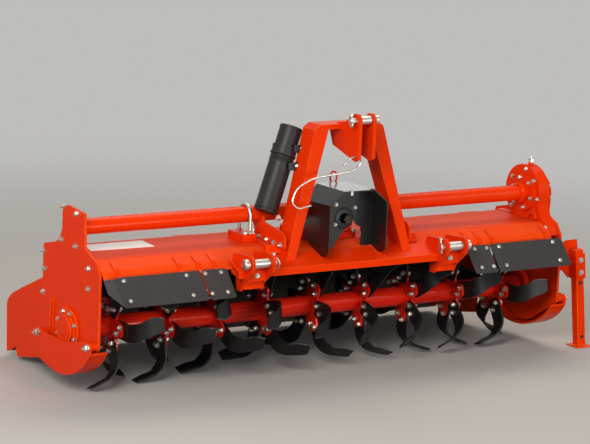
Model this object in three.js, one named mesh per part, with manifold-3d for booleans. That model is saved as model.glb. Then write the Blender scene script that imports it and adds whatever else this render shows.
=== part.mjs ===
// Tractor-mounted rotary tiller: a hooded rotor with curved tines, driven from a central gearbox
// through a cross shaft and a side gear case, under a three-point headstock.
// Millimetres, +Z up, +X to the machine's left-to-right width, -Y towards the tractor.
// Sizes are given about the rotor axis (y = 0, z = 0) and the whole group is moved at the end,
// so that the middle of its footprint stands at the origin.
import * as THREE from "three";
import { mergeVertices } from "three/addons/utils/BufferGeometryUtils.js";
import Module from "manifold-3d";

const wasm = await Module();
wasm.setup();

// ---- Driving dimensions -------------------------------------------------------------------

const seat = 0.3; // gap left between two pieces that touch

// rotor
const flangeCount = 9;
const flangePitch = 250;
const rotorTubeRadius = 44;
const flangeRadius = 92;
const flangeThickness = 12;
const tinesPerFlange = 6;
const tipRadius = 260;
const tineThickness = 8;
const tineWidth = 78;
const tineReach = 120;
const tineBendRadius = 88;
const tineFlare = 20; // degrees that a blade still slopes outwards after its bend
const tineRootRadius = 66;
const tineStart = 92; // degrees of the first flange
const tineTwist = 15; // degrees from one flange to the next

// the hood's top, which the heights above it are counted from, and the machine's inner width
const hoodTop = 325;
const innerWidth = 2356;

// side plates
const plateThickness = 10;
const plateRear = 240;
const plateFront = -251;
const plateShoulderHeight = hoodTop - 3;
const neckRear = 80;
const neckFront = -112;
const neckTop = hoodTop + 192;
const shaftHoleRadius = 36;

// hood, a folded sheet between the side plates
const hoodThickness = 6;
const hoodRidge = 137;
const hoodFoldFront = -178;
const hoodSlopeFoot = { y: -245, z: hoodTop - 34 };
const hoodLip = { y: -270, z: hoodTop - 67 };
const hoodRearEdge = { y: 228, z: hoodTop - 23 };

// cross tubes above the hood
const tubeY = -45;
const tubeZ = hoodTop + 113;
const tubeRadius = 35;
const tubeBore = 29;

// central gearbox and its input shaft
const gearboxHalfWidth = 98;
const gearboxRear = 70;
const gearboxFront = -165;
const gearboxTop = hoodTop + 197;
const inputZ = hoodTop + 103;
const inputRadius = 22;
const inputFront = -275;

// guard over the input shaft
const guardFront = -353;
const guardRear = -160;
const guardRoofRear = -135;
const guardHalfWidth = 148;
const guardRoofHalfWidth = 78;
const guardTop = hoodTop + 242;
const guardShoulder = hoodTop + 183;
const guardFoot = hoodTop - 41;
const guardBackY = -240;
const guardWall = 5;

// side gear case and cover at the right
const caseDepth = 57;
const caseHeadRadius = 126;
const caseHeadY = -31;
const coverDepth = 26;
const coverHeadRadius = 96;
const coverFootRadius = 118;

// hitch
const hitchHalfSpacing = 496;
const lowerPinY = -368;
const lowerPinZ = hoodTop - 31;
const lowerPinRadius = 17;
const lowerRollerRadius = 20;
const clevisGap = 88;
const clevisThickness = 12;
const topPinY = -365;
const topPinZ = hoodTop + 544;
const topPinRadius = 12.5;
const topRollerRadius = 19;
const topClevisGap = 58;
const topClevisThickness = 14;
const beamHalfLength = 576;
const beamFront = -336;
const beamFlangeFoot = hoodTop - 98;
const beamFlangeTop = hoodTop - 68;
const beamThickness = 8;

// headstock legs
const legTop = { outer: 176, inner: 105, y: -254, z: hoodTop + 493 };
const legFoot = { outer: 320, inner: 279, y: -295, z: hoodTop - 55 };
const legDepth = 92;
const topBarHeight = 22;
const topBarCorner = 19;

// front guard panels
const panelTop = { y: -293, z: hoodTop - 57 };
const panelFoot = { y: -385, z: hoodTop - 163 };
const panelThickness = 4;
const panelInner = 615;
const panelSplit = 741;
const panelOuter = innerWidth / 2 - 34;
const panelGap = 10;
const panelArmWidth = 18;
const panelArmThickness = 6;

// skids
const skidOuterFace = innerWidth / 2 + 50;
const skidInnerEdge = innerWidth / 2 - 32;
const skidPlateThickness = 8;
const skidPivot = { y: 195, z: -50 };
const skidFrontBolt = { y: -240, z: -22 };
const skidBoltRadius = 9;

// tail board
const boardHinge = { y: 243, z: hoodTop - 37 };
const boardHalfWidth = innerWidth / 2 - 40;
const boardThickness = 5;
const boardHingeRadius = 9;
const boardReach = 654;
const boardFootZ = -240;

// parking stand at the right front
const standX = innerWidth / 2 + 119;
const standY = -230;
const standLegSide = 42;
const standSleeveWall = 5;
const standClearance = 0.8;
const standBasePlate = 84;
const standLean = 6; // degrees, the foot outwards

// tube for the papers, on the left leg
const paperTubeRadius = 52;
const paperTubeWall = 4;

// ---- Materials ----------------------------------------------------------------------------

function paint(color, roughness, metalness) {
  return new THREE.MeshStandardMaterial({ color, roughness, metalness });
}

const finishes = {
  orange: () => paint(0xe8401a, 0.35, 0.1),
  red: () => paint(0xd4261a, 0.35, 0.1),
  black: () => paint(0x2b2a2b, 0.5, 0.1),
  tine: () => paint(0x343233, 0.55, 0.4),
  zinc: () => paint(0xc9c6bd, 0.35, 0.9),
  plastic: () => paint(0x232324, 0.5, 0),
};

// ---- Shape helpers ------------------------------------------------------------------------

function solid(geometry) {
  const bare = geometry.clone();
  bare.deleteAttribute("normal");
  bare.deleteAttribute("uv");
  const merged = mergeVertices(bare, 1e-4);
  return new wasm.Manifold(
    new wasm.Mesh({
      numProp: 3,
      vertProperties: merged.attributes.position.array,
      triVerts: new Uint32Array(merged.index.array),
    }),
  );
}

function geometryOf(manifold) {
  const mesh = manifold.getMesh();
  const geometry = new THREE.BufferGeometry();
  geometry.setAttribute("position", new THREE.BufferAttribute(mesh.vertProperties, 3));
  geometry.setIndex(new THREE.BufferAttribute(mesh.triVerts, 1));
  return geometry;
}

function join(...geometries) {
  const whole = geometries.map(solid).reduce((sum, next) => sum.add(next));
  return geometryOf(whole);
}

function cut(geometry, ...tools) {
  const rest = tools.map(solid).reduce((sum, tool) => sum.subtract(tool), solid(geometry));
  return geometryOf(rest);
}

function shapeOf(points) {
  return new THREE.Shape(points.map(([u, v]) => new THREE.Vector2(u, v)));
}

function extruded(shape, depth, curveSegments = 8) {
  return new THREE.ExtrudeGeometry(shape, { depth, bevelEnabled: false, curveSegments });
}

// An outline in (y, z), extruded from x0 to x1.
function alongX(outline, x0, x1, curveSegments) {
  const shape = Array.isArray(outline) ? shapeOf(outline) : outline;
  const geometry = extruded(shape, x1 - x0, curveSegments);
  const turn = new THREE.Matrix4().makeBasis(
    new THREE.Vector3(0, 1, 0),
    new THREE.Vector3(0, 0, 1),
    new THREE.Vector3(1, 0, 0),
  );
  return geometry.applyMatrix4(turn).translate(x0, 0, 0);
}

// An outline in (x, z), extruded from y0 to y1.
function alongY(outline, y0, y1) {
  const swapped = outline.map(([x, z]) => [z, x]);
  const turn = new THREE.Matrix4().makeBasis(
    new THREE.Vector3(0, 0, 1),
    new THREE.Vector3(1, 0, 0),
    new THREE.Vector3(0, 1, 0),
  );
  return extruded(shapeOf(swapped), y1 - y0).applyMatrix4(turn).translate(0, y0, 0);
}

function box(x0, x1, y0, y1, z0, z1) {
  const size = new THREE.BoxGeometry(x1 - x0, y1 - y0, z1 - z0);
  return size.translate((x0 + x1) / 2, (y0 + y1) / 2, (z0 + z1) / 2);
}

// A straight round bar between two points.
function bar(from, to, radius, sides = 20) {
  const a = new THREE.Vector3(...from);
  const b = new THREE.Vector3(...to);
  const geometry = new THREE.CylinderGeometry(radius, radius, a.distanceTo(b), sides);
  const turn = new THREE.Quaternion().setFromUnitVectors(
    new THREE.Vector3(0, 1, 0),
    b.clone().sub(a).normalize(),
  );
  const middle = a.add(b).multiplyScalar(0.5);
  return geometry.applyQuaternion(turn).translate(middle.x, middle.y, middle.z);
}

function barX(x0, x1, y, z, radius, sides) {
  return bar([x0, y, z], [x1, y, z], radius, sides);
}

// A round rod that follows straight runs with rounded corners between them.
function rod(points, radius, cornerRadius, sides = 10) {
  const path = new THREE.CurvePath();
  const nodes = points.map((p) => new THREE.Vector3(...p));
  let start = nodes[0];
  for (let i = 1; i < nodes.length - 1; i += 1) {
    const before = nodes[i - 1].clone().sub(nodes[i]);
    const after = nodes[i + 1].clone().sub(nodes[i]);
    const reach = Math.min(cornerRadius, before.length() * 0.45, after.length() * 0.45);
    const entry = nodes[i].clone().add(before.setLength(reach));
    const exit = nodes[i].clone().add(after.setLength(reach));
    path.add(new THREE.LineCurve3(start, entry));
    path.add(new THREE.QuadraticBezierCurve3(entry, nodes[i].clone(), exit));
    start = exit;
  }
  path.add(new THREE.LineCurve3(start, nodes[nodes.length - 1]));
  const ring = new THREE.Shape().absarc(0, 0, radius, 0, 2 * Math.PI);
  const steps = path.curves.length * 5;
  return new THREE.ExtrudeGeometry(ring, {
    extrudePath: path,
    steps,
    curveSegments: sides / 2,
    bevelEnabled: false,
  });
}

// A line in (y, z) moved sideways by a distance, to the left of its own direction.
function offsetLine(line, distance) {
  const points = line.map(([y, z]) => new THREE.Vector2(y, z));
  const normals = points.slice(1).map((p, i) => {
    const along = p.clone().sub(points[i]).normalize();
    return new THREE.Vector2(-along.y, along.x);
  });
  return points.map((p, i) => {
    const before = normals[Math.max(i - 1, 0)];
    const after = normals[Math.min(i, normals.length - 1)];
    const mitre = before.clone().add(after).normalize();
    const moved = p.clone().addScaledVector(mitre, distance / mitre.dot(after));
    return [moved.x, moved.y];
  });
}

// A folded sheet: a line in (y, z) thickened to the left of its own direction, along X.
function foldedSheet(line, thickness, x0, x1) {
  return alongX([...line, ...offsetLine(line, thickness).reverse()], x0, x1);
}

const machine = new THREE.Group();

function add(name, geometry, finish, parent = machine) {
  const mesh = new THREE.Mesh(geometry, finish());
  mesh.name = name;
  parent.add(mesh);
  return mesh;
}

const { orange, red, black, tine, zinc, plastic } = finishes;
const insideFace = innerWidth / 2;
const outsideFace = insideFace + plateThickness;
const arcPoints = (cy, cz, radius, from, to, count) =>
  Array.from({ length: count + 1 }, (_, i) => {
    const angle = THREE.MathUtils.degToRad(from + ((to - from) * i) / count);
    return [cy + radius * Math.cos(angle), cz + radius * Math.sin(angle)];
  });

// ---- Side plates --------------------------------------------------------------------------

// The lower edge is an arc about the rotor axis, just above the skid's sole.
const plateFootRadius = 166;
const plateBody = [
  [plateRear - 8, plateShoulderHeight],
  [plateRear, plateShoulderHeight - 14],
  [plateRear, -60],
  [165, -96],
  ...arcPoints(0, 0, plateFootRadius, -45, -135, 6),
  [plateFront + 15, -50],
  [plateFront, -34],
  [plateFront, hoodTop - 52],
  [-218, hoodTop - 6],
  [-120, hoodTop + 37],
];

function sidePlate(x0, neckOutline) {
  const outline = [...plateBody, ...neckOutline, [neckRear + 14, hoodTop + 51], [130, hoodTop + 21]];
  const hole = barX(x0 - 1, x0 + plateThickness + 1, 0, 0, shaftHoleRadius);
  return cut(alongX(outline, x0, x0 + plateThickness), hole);
}

const leftNeck = [
  [neckFront, neckTop - 11],
  [33, neckTop],
  [neckRear, neckTop - 19],
  [neckRear, hoodTop + 85],
];
const rightNeck = arcPoints(tubeY, tubeZ, 100, 200, -10, 9);
const ribDepth = 12;
const ribY = 146;
const leftRib = box(-outsideFace - ribDepth, -outsideFace + 1, ribY - 5, ribY + 5, -20, 100);

add("left_side_plate", join(sidePlate(-outsideFace, leftNeck), leftRib), orange);
add("right_side_plate", sidePlate(insideFace, rightNeck), orange);

// ---- Hood ---------------------------------------------------------------------------------

const hoodEnd = insideFace - seat;
const caseInnerFace = insideFace - caseDepth;
const hoodLine = [
  [hoodRearEdge.y, hoodRearEdge.z],
  [hoodRidge, hoodTop],
  [hoodFoldFront, hoodTop],
  [hoodSlopeFoot.y, hoodSlopeFoot.z],
  [hoodLip.y, hoodLip.z],
];
const hoodSheet = foldedSheet(hoodLine, hoodThickness, -hoodEnd, hoodEnd);
const caseFootZ = tipRadius + 8;
const caseClearance = 2;
const caseSpace = box(
  caseInnerFace - caseClearance,
  insideFace + 1,
  -260,
  170,
  caseFootZ,
  hoodTop + 40,
);
add("hood", cut(hoodSheet, caseSpace), orange);

// ---- Cross tubes --------------------------------------------------------------------------

function tube(x0, x1) {
  const wall = barX(x0, x1, tubeY, tubeZ, tubeRadius, 28);
  return cut(wall, barX(x0 - 1, x1 + 1, tubeY, tubeZ, tubeBore, 28));
}

const gearboxFlange = gearboxHalfWidth + 14;
add("support_tube", tube(-insideFace + seat, -gearboxFlange - seat), orange);
add("drive_shaft_tube", tube(gearboxFlange + seat, caseInnerFace - 14 - seat), orange);

// ---- Central gearbox ----------------------------------------------------------------------

const gearboxFootZ = hoodTop + seat;
const noseEnd = guardBackY + guardWall + seat;
const noseRadius = 56;
const gearboxBody = [
  [gearboxFront, gearboxFootZ + 25],
  [gearboxFront, inputZ + 60],
  [gearboxFront + 50, gearboxTop],
  [gearboxRear - 50, gearboxTop],
  [gearboxRear, gearboxTop - 50],
  [gearboxRear, gearboxFootZ + 25],
];
const gearbox = join(
  alongX(gearboxBody, -gearboxHalfWidth, gearboxHalfWidth),
  box(-gearboxHalfWidth - 20, gearboxHalfWidth + 20, gearboxFront - 10, gearboxRear + 20,
    gearboxFootZ, gearboxFootZ + 26),
  barX(-gearboxFlange, gearboxFlange, tubeY, tubeZ, 78, 28),
  bar([0, gearboxFront + 5, inputZ], [0, noseEnd, inputZ], noseRadius, 28),
);
const inputBore = bar([0, 0, inputZ], [0, inputFront, inputZ], inputRadius + 1, 24);
add("gearbox", cut(gearbox, inputBore), red);

const inputShaft = bar([0, -2, inputZ], [0, inputFront, inputZ], inputRadius, 24);
add("input_shaft", inputShaft, zinc);

// ---- Guard over the input shaft -----------------------------------------------------------

function guardProfile(inset) {
  const wall = guardHalfWidth - inset;
  const roof = guardRoofHalfWidth - inset * 0.6;
  return [
    [-wall, guardFoot],
    [-wall, guardShoulder - inset * 0.4],
    [-roof, guardTop - inset],
    [roof, guardTop - inset],
    [wall, guardShoulder - inset * 0.4],
    [wall, guardFoot],
  ];
}
const guardTunnel = alongY(
  [...guardProfile(0), ...guardProfile(guardWall).reverse()],
  guardFront,
  guardRoofRear,
);
const guardTrim = alongX(
  [
    [guardFront - 1, guardFoot - 1],
    [guardFront - 1, hoodTop - 21],
    [-322, hoodTop - 40],
    [-296, hoodTop - 40],
    [-245, hoodTop - 21],
    [-178, hoodTop + 9],
    [guardRear, hoodTop + 27],
    [guardRear, guardShoulder],
    [guardRoofRear - 2, guardTop],
    [guardRoofRear + 1, guardTop + 1],
    [guardRoofRear + 1, guardFoot - 1],
  ],
  -guardHalfWidth - 1,
  guardHalfWidth + 1,
);
const guardBack = alongY(
  [
    ...guardProfile(guardWall - 1).slice(1, 5),
    [guardHalfWidth - guardWall + 1, hoodTop - 23],
    [90, hoodTop - 19],
    [98, hoodTop + 53],
    [66, hoodTop + 71],
    [50, hoodTop + 91],
    [36, hoodTop + 84],
    [-6, hoodTop + 39],
    [-30, hoodTop + 10],
    [-50, hoodTop - 23],
    [-guardHalfWidth + guardWall - 1, hoodTop - 23],
  ],
  guardBackY,
  guardBackY + guardWall,
);
const shaftOpening = bar(
  [0, guardBackY - 1, inputZ],
  [0, guardBackY + guardWall + 1, inputZ],
  inputRadius + 9,
  24,
);
add("input_guard", join(cut(guardTunnel, guardTrim), cut(guardBack, shaftOpening)), black);

// ---- Side gear case -----------------------------------------------------------------------

const caseOutline = [
  ...arcPoints(caseHeadY, tubeZ, caseHeadRadius, 200, -52, 20),
  [58, hoodTop + 3],
  [150, hoodTop + 2],
  [150, caseFootZ],
  [-232, caseFootZ],
  [-226, hoodTop - 29],
  [-176, hoodTop + 19],
];
const caseHead = alongX(caseOutline, caseInnerFace, insideFace - seat);
const caseFlange = barX(caseInnerFace - 14, caseInnerFace + 1, tubeY, tubeZ, 84, 28);
const fillerPlug = bar([insideFace - 28, tubeY, tubeZ + 117], [insideFace - 28, tubeY, tubeZ + 150], 12, 12);
add("gear_case", join(caseHead, caseFlange, fillerPlug), orange);

function coverSolid(grow, x0, x1) {
  const head = barX(x0, x1, tubeY, tubeZ, coverHeadRadius + grow, 28);
  const foot = barX(x0, x1, 0, 0, coverFootRadius + grow, 28);
  const waist = alongX(
    [
      [tubeY - coverHeadRadius - grow, tubeZ],
      [tubeY + coverHeadRadius + grow, tubeZ],
      [coverFootRadius + grow, 0],
      [-coverFootRadius - grow, 0],
    ],
    x0,
    x1,
  );
  return join(head, foot, waist);
}

const shaftClearance = 0.5;
const stubRadius = shaftHoleRadius - 6;
const bearingBore = stubRadius + shaftClearance;
const coverFoot = outsideFace + seat;
const coverBore = barX(coverFoot - 1, coverFoot + 12, 0, 0, bearingBore, 24);
const cover = join(
  coverSolid(0, coverFoot, coverFoot + 8),
  coverSolid(-16, coverFoot + 7, coverFoot + coverDepth),
);
add("gear_case_cover", cut(cover, coverBore), orange);

// ---- Rotor --------------------------------------------------------------------------------

const rotor = new THREE.Group();
machine.add(rotor);

const bearingDepth = 26;
const tubeEnd = insideFace - 14;
const rotorShaft = join(
  barX(-tubeEnd, tubeEnd, 0, 0, rotorTubeRadius, 28),
  barX(-outsideFace - 12, outsideFace + 8, 0, 0, stubRadius, 24),
);
add("rotor_shaft", rotorShaft, red, rotor);

const bearing = join(
  barX(-outsideFace - 10, -outsideFace - seat, 0, 0, 92, 28),
  barX(-outsideFace - bearingDepth, -outsideFace - 9, 0, 0, 62, 28),
);
const bearingBoreCut = barX(-outsideFace - 14, -outsideFace + 1, 0, 0, bearingBore, 24);
add("rotor_bearing_housing", cut(bearing, bearingBoreCut), orange);

// One tine: a strip in (x, r) that curves sideways and still flares outwards at its end,
// as wide as the blade along the turning direction and cut to a point.
function tineBlade(side) {
  const bend = tineBendRadius;
  const near = flangeThickness / 2 - 1;
  const flare = THREE.MathUtils.degToRad(tineFlare);
  const arcEnd = Math.PI / 2 + flare;
  const centreX = near + bend;
  const runStart = centreX + bend * Math.cos(arcEnd);
  const run = (tineReach - runStart) / Math.cos(flare);
  const centreR = tipRadius - 4 - bend * Math.sin(arcEnd) - run * Math.sin(flare);
  const outer = [tineReach, tipRadius - 4];
  const inner = [
    tineReach + tineThickness * Math.sin(flare),
    tipRadius - 4 - tineThickness * Math.cos(flare),
  ];
  const shape = new THREE.Shape();
  shape.moveTo(near, tineRootRadius);
  shape.lineTo(near, centreR);
  shape.absarc(centreX, centreR, bend, Math.PI, arcEnd, true);
  shape.lineTo(...outer);
  shape.lineTo(...inner);
  shape.absarc(centreX, centreR, bend - tineThickness, arcEnd, Math.PI, false);
  shape.lineTo(near + tineThickness, tineRootRadius);
  const strip = new THREE.ExtrudeGeometry(shape, {
    depth: tineWidth,
    bevelEnabled: false,
    curveSegments: 5,
  });
  // shape x -> X, shape y -> +Z (radius), depth -> -Y, centred on the radius
  strip.translate(0, 0, -tineWidth / 2).rotateX(Math.PI / 2);
  const half = tineWidth / 2;
  const trimTop = extruded(
    shapeOf([
      [42, half + 1],
      [tineReach + 6, half + 1],
      [tineReach + 6, -half * 0.2],
    ]),
    tipRadius,
  );
  const trimFoot = extruded(
    shapeOf([
      [88, -half - 1],
      [tineReach + 6, -half - 1],
      [tineReach + 6, -half * 0.55],
    ]),
    tipRadius,
  );
  const blade = cut(strip, trimTop, trimFoot);
  if (side < 0) blade.rotateZ(Math.PI);
  return blade;
}

function lobedPlate() {
  const points = [];
  for (let i = 0; i < 2 * tinesPerFlange; i += 1) {
    const angle = (i * Math.PI) / tinesPerFlange;
    const radius = i % 2 === 0 ? flangeRadius : flangeRadius * 0.86;
    points.push([radius * Math.cos(angle), radius * Math.sin(angle)]);
  }
  return points;
}

const flangeBore = rotorTubeRadius + seat;
for (let i = 0; i < flangeCount; i += 1) {
  const x = (i - (flangeCount - 1) / 2) * flangePitch;
  const plate = cut(
    alongX(lobedPlate(), -flangeThickness / 2, flangeThickness / 2),
    barX(-flangeThickness, flangeThickness, 0, 0, flangeBore, 28),
  );
  const blades = [];
  for (let k = 0; k < tinesPerFlange; k += 1) {
    const angle = (k * 2 * Math.PI) / tinesPerFlange;
    blades.push(tineBlade(k % 2 === 0 ? 1 : -1).rotateX(angle));
  }
  const flange = add(`tine_flange_${i + 1}`, join(plate, ...blades), tine, rotor);
  flange.position.x = x;
  flange.rotation.x = THREE.MathUtils.degToRad(tineStart + i * tineTwist);
}

// ---- Hitch beam and lower clevises --------------------------------------------------------

const beamRear = { y: hoodSlopeFoot.y - 4, z: hoodSlopeFoot.z + 5 };
const beamLine = [
  [beamRear.y, beamRear.z],
  [beamFront, beamFlangeTop],
  [beamFront, beamFlangeFoot],
];
const hoodSpace = alongX(
  [...offsetLine(hoodLine, -seat), [hoodLip.y + 20, 150], [hoodRearEdge.y, 150]],
  -insideFace,
  insideFace,
);
const beamSheet = foldedSheet(beamLine, beamThickness, -beamHalfLength, beamHalfLength);
const beamBackLine = [
  [beamFront + 1, beamFlangeFoot + beamThickness],
  [hoodLip.y - beamThickness, beamFlangeFoot + beamThickness + 14],
  [hoodLip.y - 2, hoodLip.z + 10],
];
const beamBack = foldedSheet(beamBackLine, -beamThickness, -beamHalfLength, beamHalfLength);
add("hitch_beam", cut(join(beamSheet, beamBack), hoodSpace), orange);

// The beam's closed section, grown by the seat gap, from its front to the hood's lip.
const beamSpace = alongX(
  [
    ...offsetLine(beamLine, -seat),
    [beamFront - seat, beamFlangeFoot - seat],
    [beamFront + beamThickness, beamFlangeFoot - seat],
    ...offsetLine(beamBackLine, -beamThickness - seat).slice(1),
    [hoodSlopeFoot.y + 10, hoodTop - 55],
  ],
  -beamHalfLength - seat,
  beamHalfLength + seat,
);
const hitchSpace = join(hoodSpace, beamSpace);

function lowerClevis(side) {
  const middle = side * hitchHalfSpacing;
  const halfGap = clevisGap / 2;
  const ear = [
    [-238, lowerPinZ + 6],
    [-242, lowerPinZ + 24],
    [-262, lowerPinZ + 29],
    [lowerPinY - 12, lowerPinZ + 36],
    [lowerPinY - 30, lowerPinZ + 22],
    [lowerPinY - 36, lowerPinZ],
    [lowerPinY - 26, lowerPinZ - 34],
    [-322, lowerPinZ - 94],
    [-306, lowerPinZ - 126],
    [-276, lowerPinZ - 126],
    [-268, lowerPinZ - 58],
    [-238, lowerPinZ - 14],
  ];
  const ears = [-1, 1].map((end) => {
    const x = middle + end * (halfGap + clevisThickness / 2);
    return alongX(ear, x - clevisThickness / 2, x + clevisThickness / 2);
  });
  const web = box(
    middle - halfGap - 1,
    middle + halfGap + 1,
    beamFront - seat - 10,
    beamFront - seat,
    beamFlangeFoot - 13,
    beamFlangeTop,
  );
  const footWeb = box(middle - halfGap - 1, middle + halfGap + 1, -318, -306,
    lowerPinZ - 118, lowerPinZ - 70);
  const pinHole = barX(
    middle - halfGap - 40,
    middle + halfGap + 40,
    lowerPinY,
    lowerPinZ,
    lowerPinRadius + seat,
    20,
  );
  return cut(join(...ears, web, footWeb), pinHole, hitchSpace);
}

function lowerPin(side) {
  const middle = side * hitchHalfSpacing;
  const reach = clevisGap / 2 + clevisThickness;
  const outer = middle + side * (reach + 26);
  const inner = middle - side * (reach + 20);
  return join(
    barX(outer, inner, lowerPinY, lowerPinZ, lowerPinRadius, 20),
    barX(middle - clevisGap / 2 + 6, middle + clevisGap / 2 - 6, lowerPinY, lowerPinZ,
      lowerRollerRadius, 20),
    barX(middle + side * (reach + 3), outer, lowerPinY, lowerPinZ, lowerPinRadius + 6, 20),
  );
}

for (const [word, side] of [["left", -1], ["right", 1]]) {
  add(`${word}_lower_clevis`, lowerClevis(side), orange);
  add(`${word}_lower_pin`, lowerPin(side), zinc);
}

// ---- Headstock ----------------------------------------------------------------------------

// A leg with a tapering front face, leaning in and back towards the top.
function leg(side, grow = 0) {
  const ring = ({ outer, inner, y, z }) =>
    [
      [outer + grow, y - grow],
      [inner - grow, y - grow],
      [inner - grow, y + legDepth + grow],
      [outer + grow, y + legDepth + grow],
    ].map(([x, depth]) => new THREE.Vector3(side * x, depth, z));
  const top = ring(legTop);
  const foot = ring(legFoot);
  const faces = [
    [foot[0], foot[1], top[1], top[0]],
    [foot[1], foot[2], top[2], top[1]],
    [foot[2], foot[3], top[3], top[2]],
    [foot[3], foot[0], top[0], top[3]],
    [top[0], top[1], top[2], top[3]],
    [foot[3], foot[2], foot[1], foot[0]],
  ];
  const positions = [];
  for (const [a, b, c, d] of faces) {
    const order = side > 0 ? [a, c, b, a, d, c] : [a, b, c, a, c, d];
    for (const p of order) positions.push(p.x, p.y, p.z);
  }
  const geometry = new THREE.BufferGeometry();
  geometry.setAttribute("position", new THREE.Float32BufferAttribute(positions, 3));
  return mergeVertices(geometry);
}

add("headstock_left_leg", cut(leg(-1), hitchSpace), orange);
add("headstock_right_leg", cut(leg(1), hitchSpace), orange);

const topBarFoot = legTop.z + seat;
const topBarTop = topBarFoot + topBarHeight;
const topBar = alongY(
  [
    [-legTop.outer, topBarFoot],
    [legTop.outer, topBarFoot],
    [legTop.outer, topBarTop - topBarCorner],
    [legTop.outer - topBarCorner * 1.6, topBarTop],
    [-legTop.outer + topBarCorner * 1.6, topBarTop],
    [-legTop.outer, topBarTop - topBarCorner],
  ],
  legTop.y,
  legTop.y + legDepth,
);
add("headstock_top_bar", topBar, orange);

const hookPivot = { y: -372, z: topPinZ - 153 };
const hookRadius = 5.5;

function topEar(side) {
  const near = side * (topClevisGap / 2);
  const far = side * (topClevisGap / 2 + topClevisThickness);
  const outline = [
    [-168, topBarFoot - seat],
    [-168, topBarFoot - 18],
    [legTop.y + 60, topPinZ - 127],
    [topPinY, topPinZ - 175],
    [topPinY - 26, topPinZ - 163],
    [topPinY - 26, topPinZ + 8],
    [topPinY - 10, topPinZ + 27],
    [topPinY + 18, topPinZ + 27],
    [legTop.y - 30, topBarTop + 14],
    [legTop.y + 36, topBarTop + 2],
    [legTop.y + 36, topBarFoot - seat],
  ];
  const ear = alongX(outline, Math.min(near, far), Math.max(near, far));
  const hole = barX(near - side * 30, far + side * 30, topPinY, topPinZ, topPinRadius + seat, 20);
  const hookHole = barX(near - side * 5, far + side * 5, hookPivot.y, hookPivot.z, hookRadius + 0.5, 12);
  const barSpace = box(-200, 200, legTop.y - seat, -100, topBarFoot - seat, topBarTop + seat);
  return side < 0 ? cut(ear, hole, hookHole, barSpace) : cut(ear, hole, barSpace);
}

add("top_link_left_ear", topEar(-1), orange);
add("top_link_right_ear", topEar(1), orange);

const topPinEnd = topClevisGap / 2 + topClevisThickness;
const topPin = join(
  barX(-topPinEnd - 34, topPinEnd + 22, topPinY, topPinZ, topPinRadius, 20),
  barX(-topClevisGap / 2 + 4, topClevisGap / 2 - 4, topPinY, topPinZ, topRollerRadius, 20),
  barX(topPinEnd + 3, topPinEnd + 22, topPinY, topPinZ, topPinRadius + 7, 20),
);
add("top_link_pin", topPin, zinc);

// ---- Hook for the drive shaft -------------------------------------------------------------

const hookPoints = [
  [-104, hookPivot.y, hookPivot.z - 30],
  [-68, hookPivot.y, hookPivot.z],
  [-14, hookPivot.y, hookPivot.z],
  [-14, hookPivot.y + 4, hookPivot.z - 36],
  [-60, -366, hookPivot.z - 62],
  [-220, -322, hookPivot.z - 88],
  [-296, -316, hookPivot.z - 126],
  [-322, -318, hookPivot.z - 186],
  [-290, -322, hookPivot.z - 216],
  [-226, -322, hookPivot.z - 204],
];
add("drive_shaft_hook", rod(hookPoints, hookRadius, 26), zinc);

// ---- Feet of the headstock ----------------------------------------------------------------

const tubeSpace = barX(-insideFace, insideFace, tubeY, tubeZ, tubeRadius + seat, 28);
const footPlateTop = hoodTop + 11;
const gussetX = 320;
const gussetThickness = 12;

// A plate on the hood beside the leg, with an upright gusset that carries the cross tube.
function footBracket(side) {
  const plateOutline = [
    [-52, hoodTop],
    [-52, footPlateTop],
    [-232, footPlateTop],
    [-248, hoodTop - 19],
    [-236, hoodTop - 35],
  ];
  const plateEnds = [side * (legFoot.inner - 5), side * 400].sort((a, b) => a - b);
  const plate = alongX(plateOutline, ...plateEnds);
  const outside = extruded(
    shapeOf([
      [side * 330, -40],
      [side * 392, -260],
      [side * 410, -260],
      [side * 410, -40],
    ]),
    120,
  ).translate(0, 0, hoodTop - 65);
  const gussetOutline = [
    [-118, footPlateTop - 1],
    [-100, tubeZ - 6],
    [0, tubeZ - 6],
    [-56, footPlateTop - 1],
  ];
  const gussetEnds = [side * gussetX, side * (gussetX - gussetThickness)];
  const gusset = alongX(gussetOutline, Math.min(...gussetEnds), Math.max(...gussetEnds));
  return cut(join(cut(plate, outside), gusset), hitchSpace, leg(side, seat), tubeSpace);
}
add("headstock_left_foot", footBracket(-1), orange);
add("headstock_right_foot", footBracket(1), orange);

const saddleX = -376;
const uBoltRadius = 7;
const uBoltReach = tubeRadius + uBoltRadius + 0.5;
const saddleBase = hoodTop + 37;
const uBoltFoot = saddleBase - 16;
const saddle = box(saddleX - 44, saddleX + 24, tubeY - 62, tubeY + 62, hoodTop + seat, saddleBase);
const uBoltPath = (foot) => [
  [saddleX, tubeY - uBoltReach, foot],
  [saddleX, tubeY - uBoltReach, tubeZ + uBoltReach],
  [saddleX, tubeY + uBoltReach, tubeZ + uBoltReach],
  [saddleX, tubeY + uBoltReach, foot],
];
const uBolt = rod(uBoltPath(uBoltFoot), uBoltRadius, uBoltReach);
const uBoltSpace = rod(uBoltPath(hoodTop - 5), uBoltRadius + seat, uBoltReach);
add("tube_saddle", cut(saddle, uBoltSpace, hoodSpace), orange);
add("tube_u_bolt", uBolt, zinc);

// ---- Front guard panels -------------------------------------------------------------------

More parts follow.
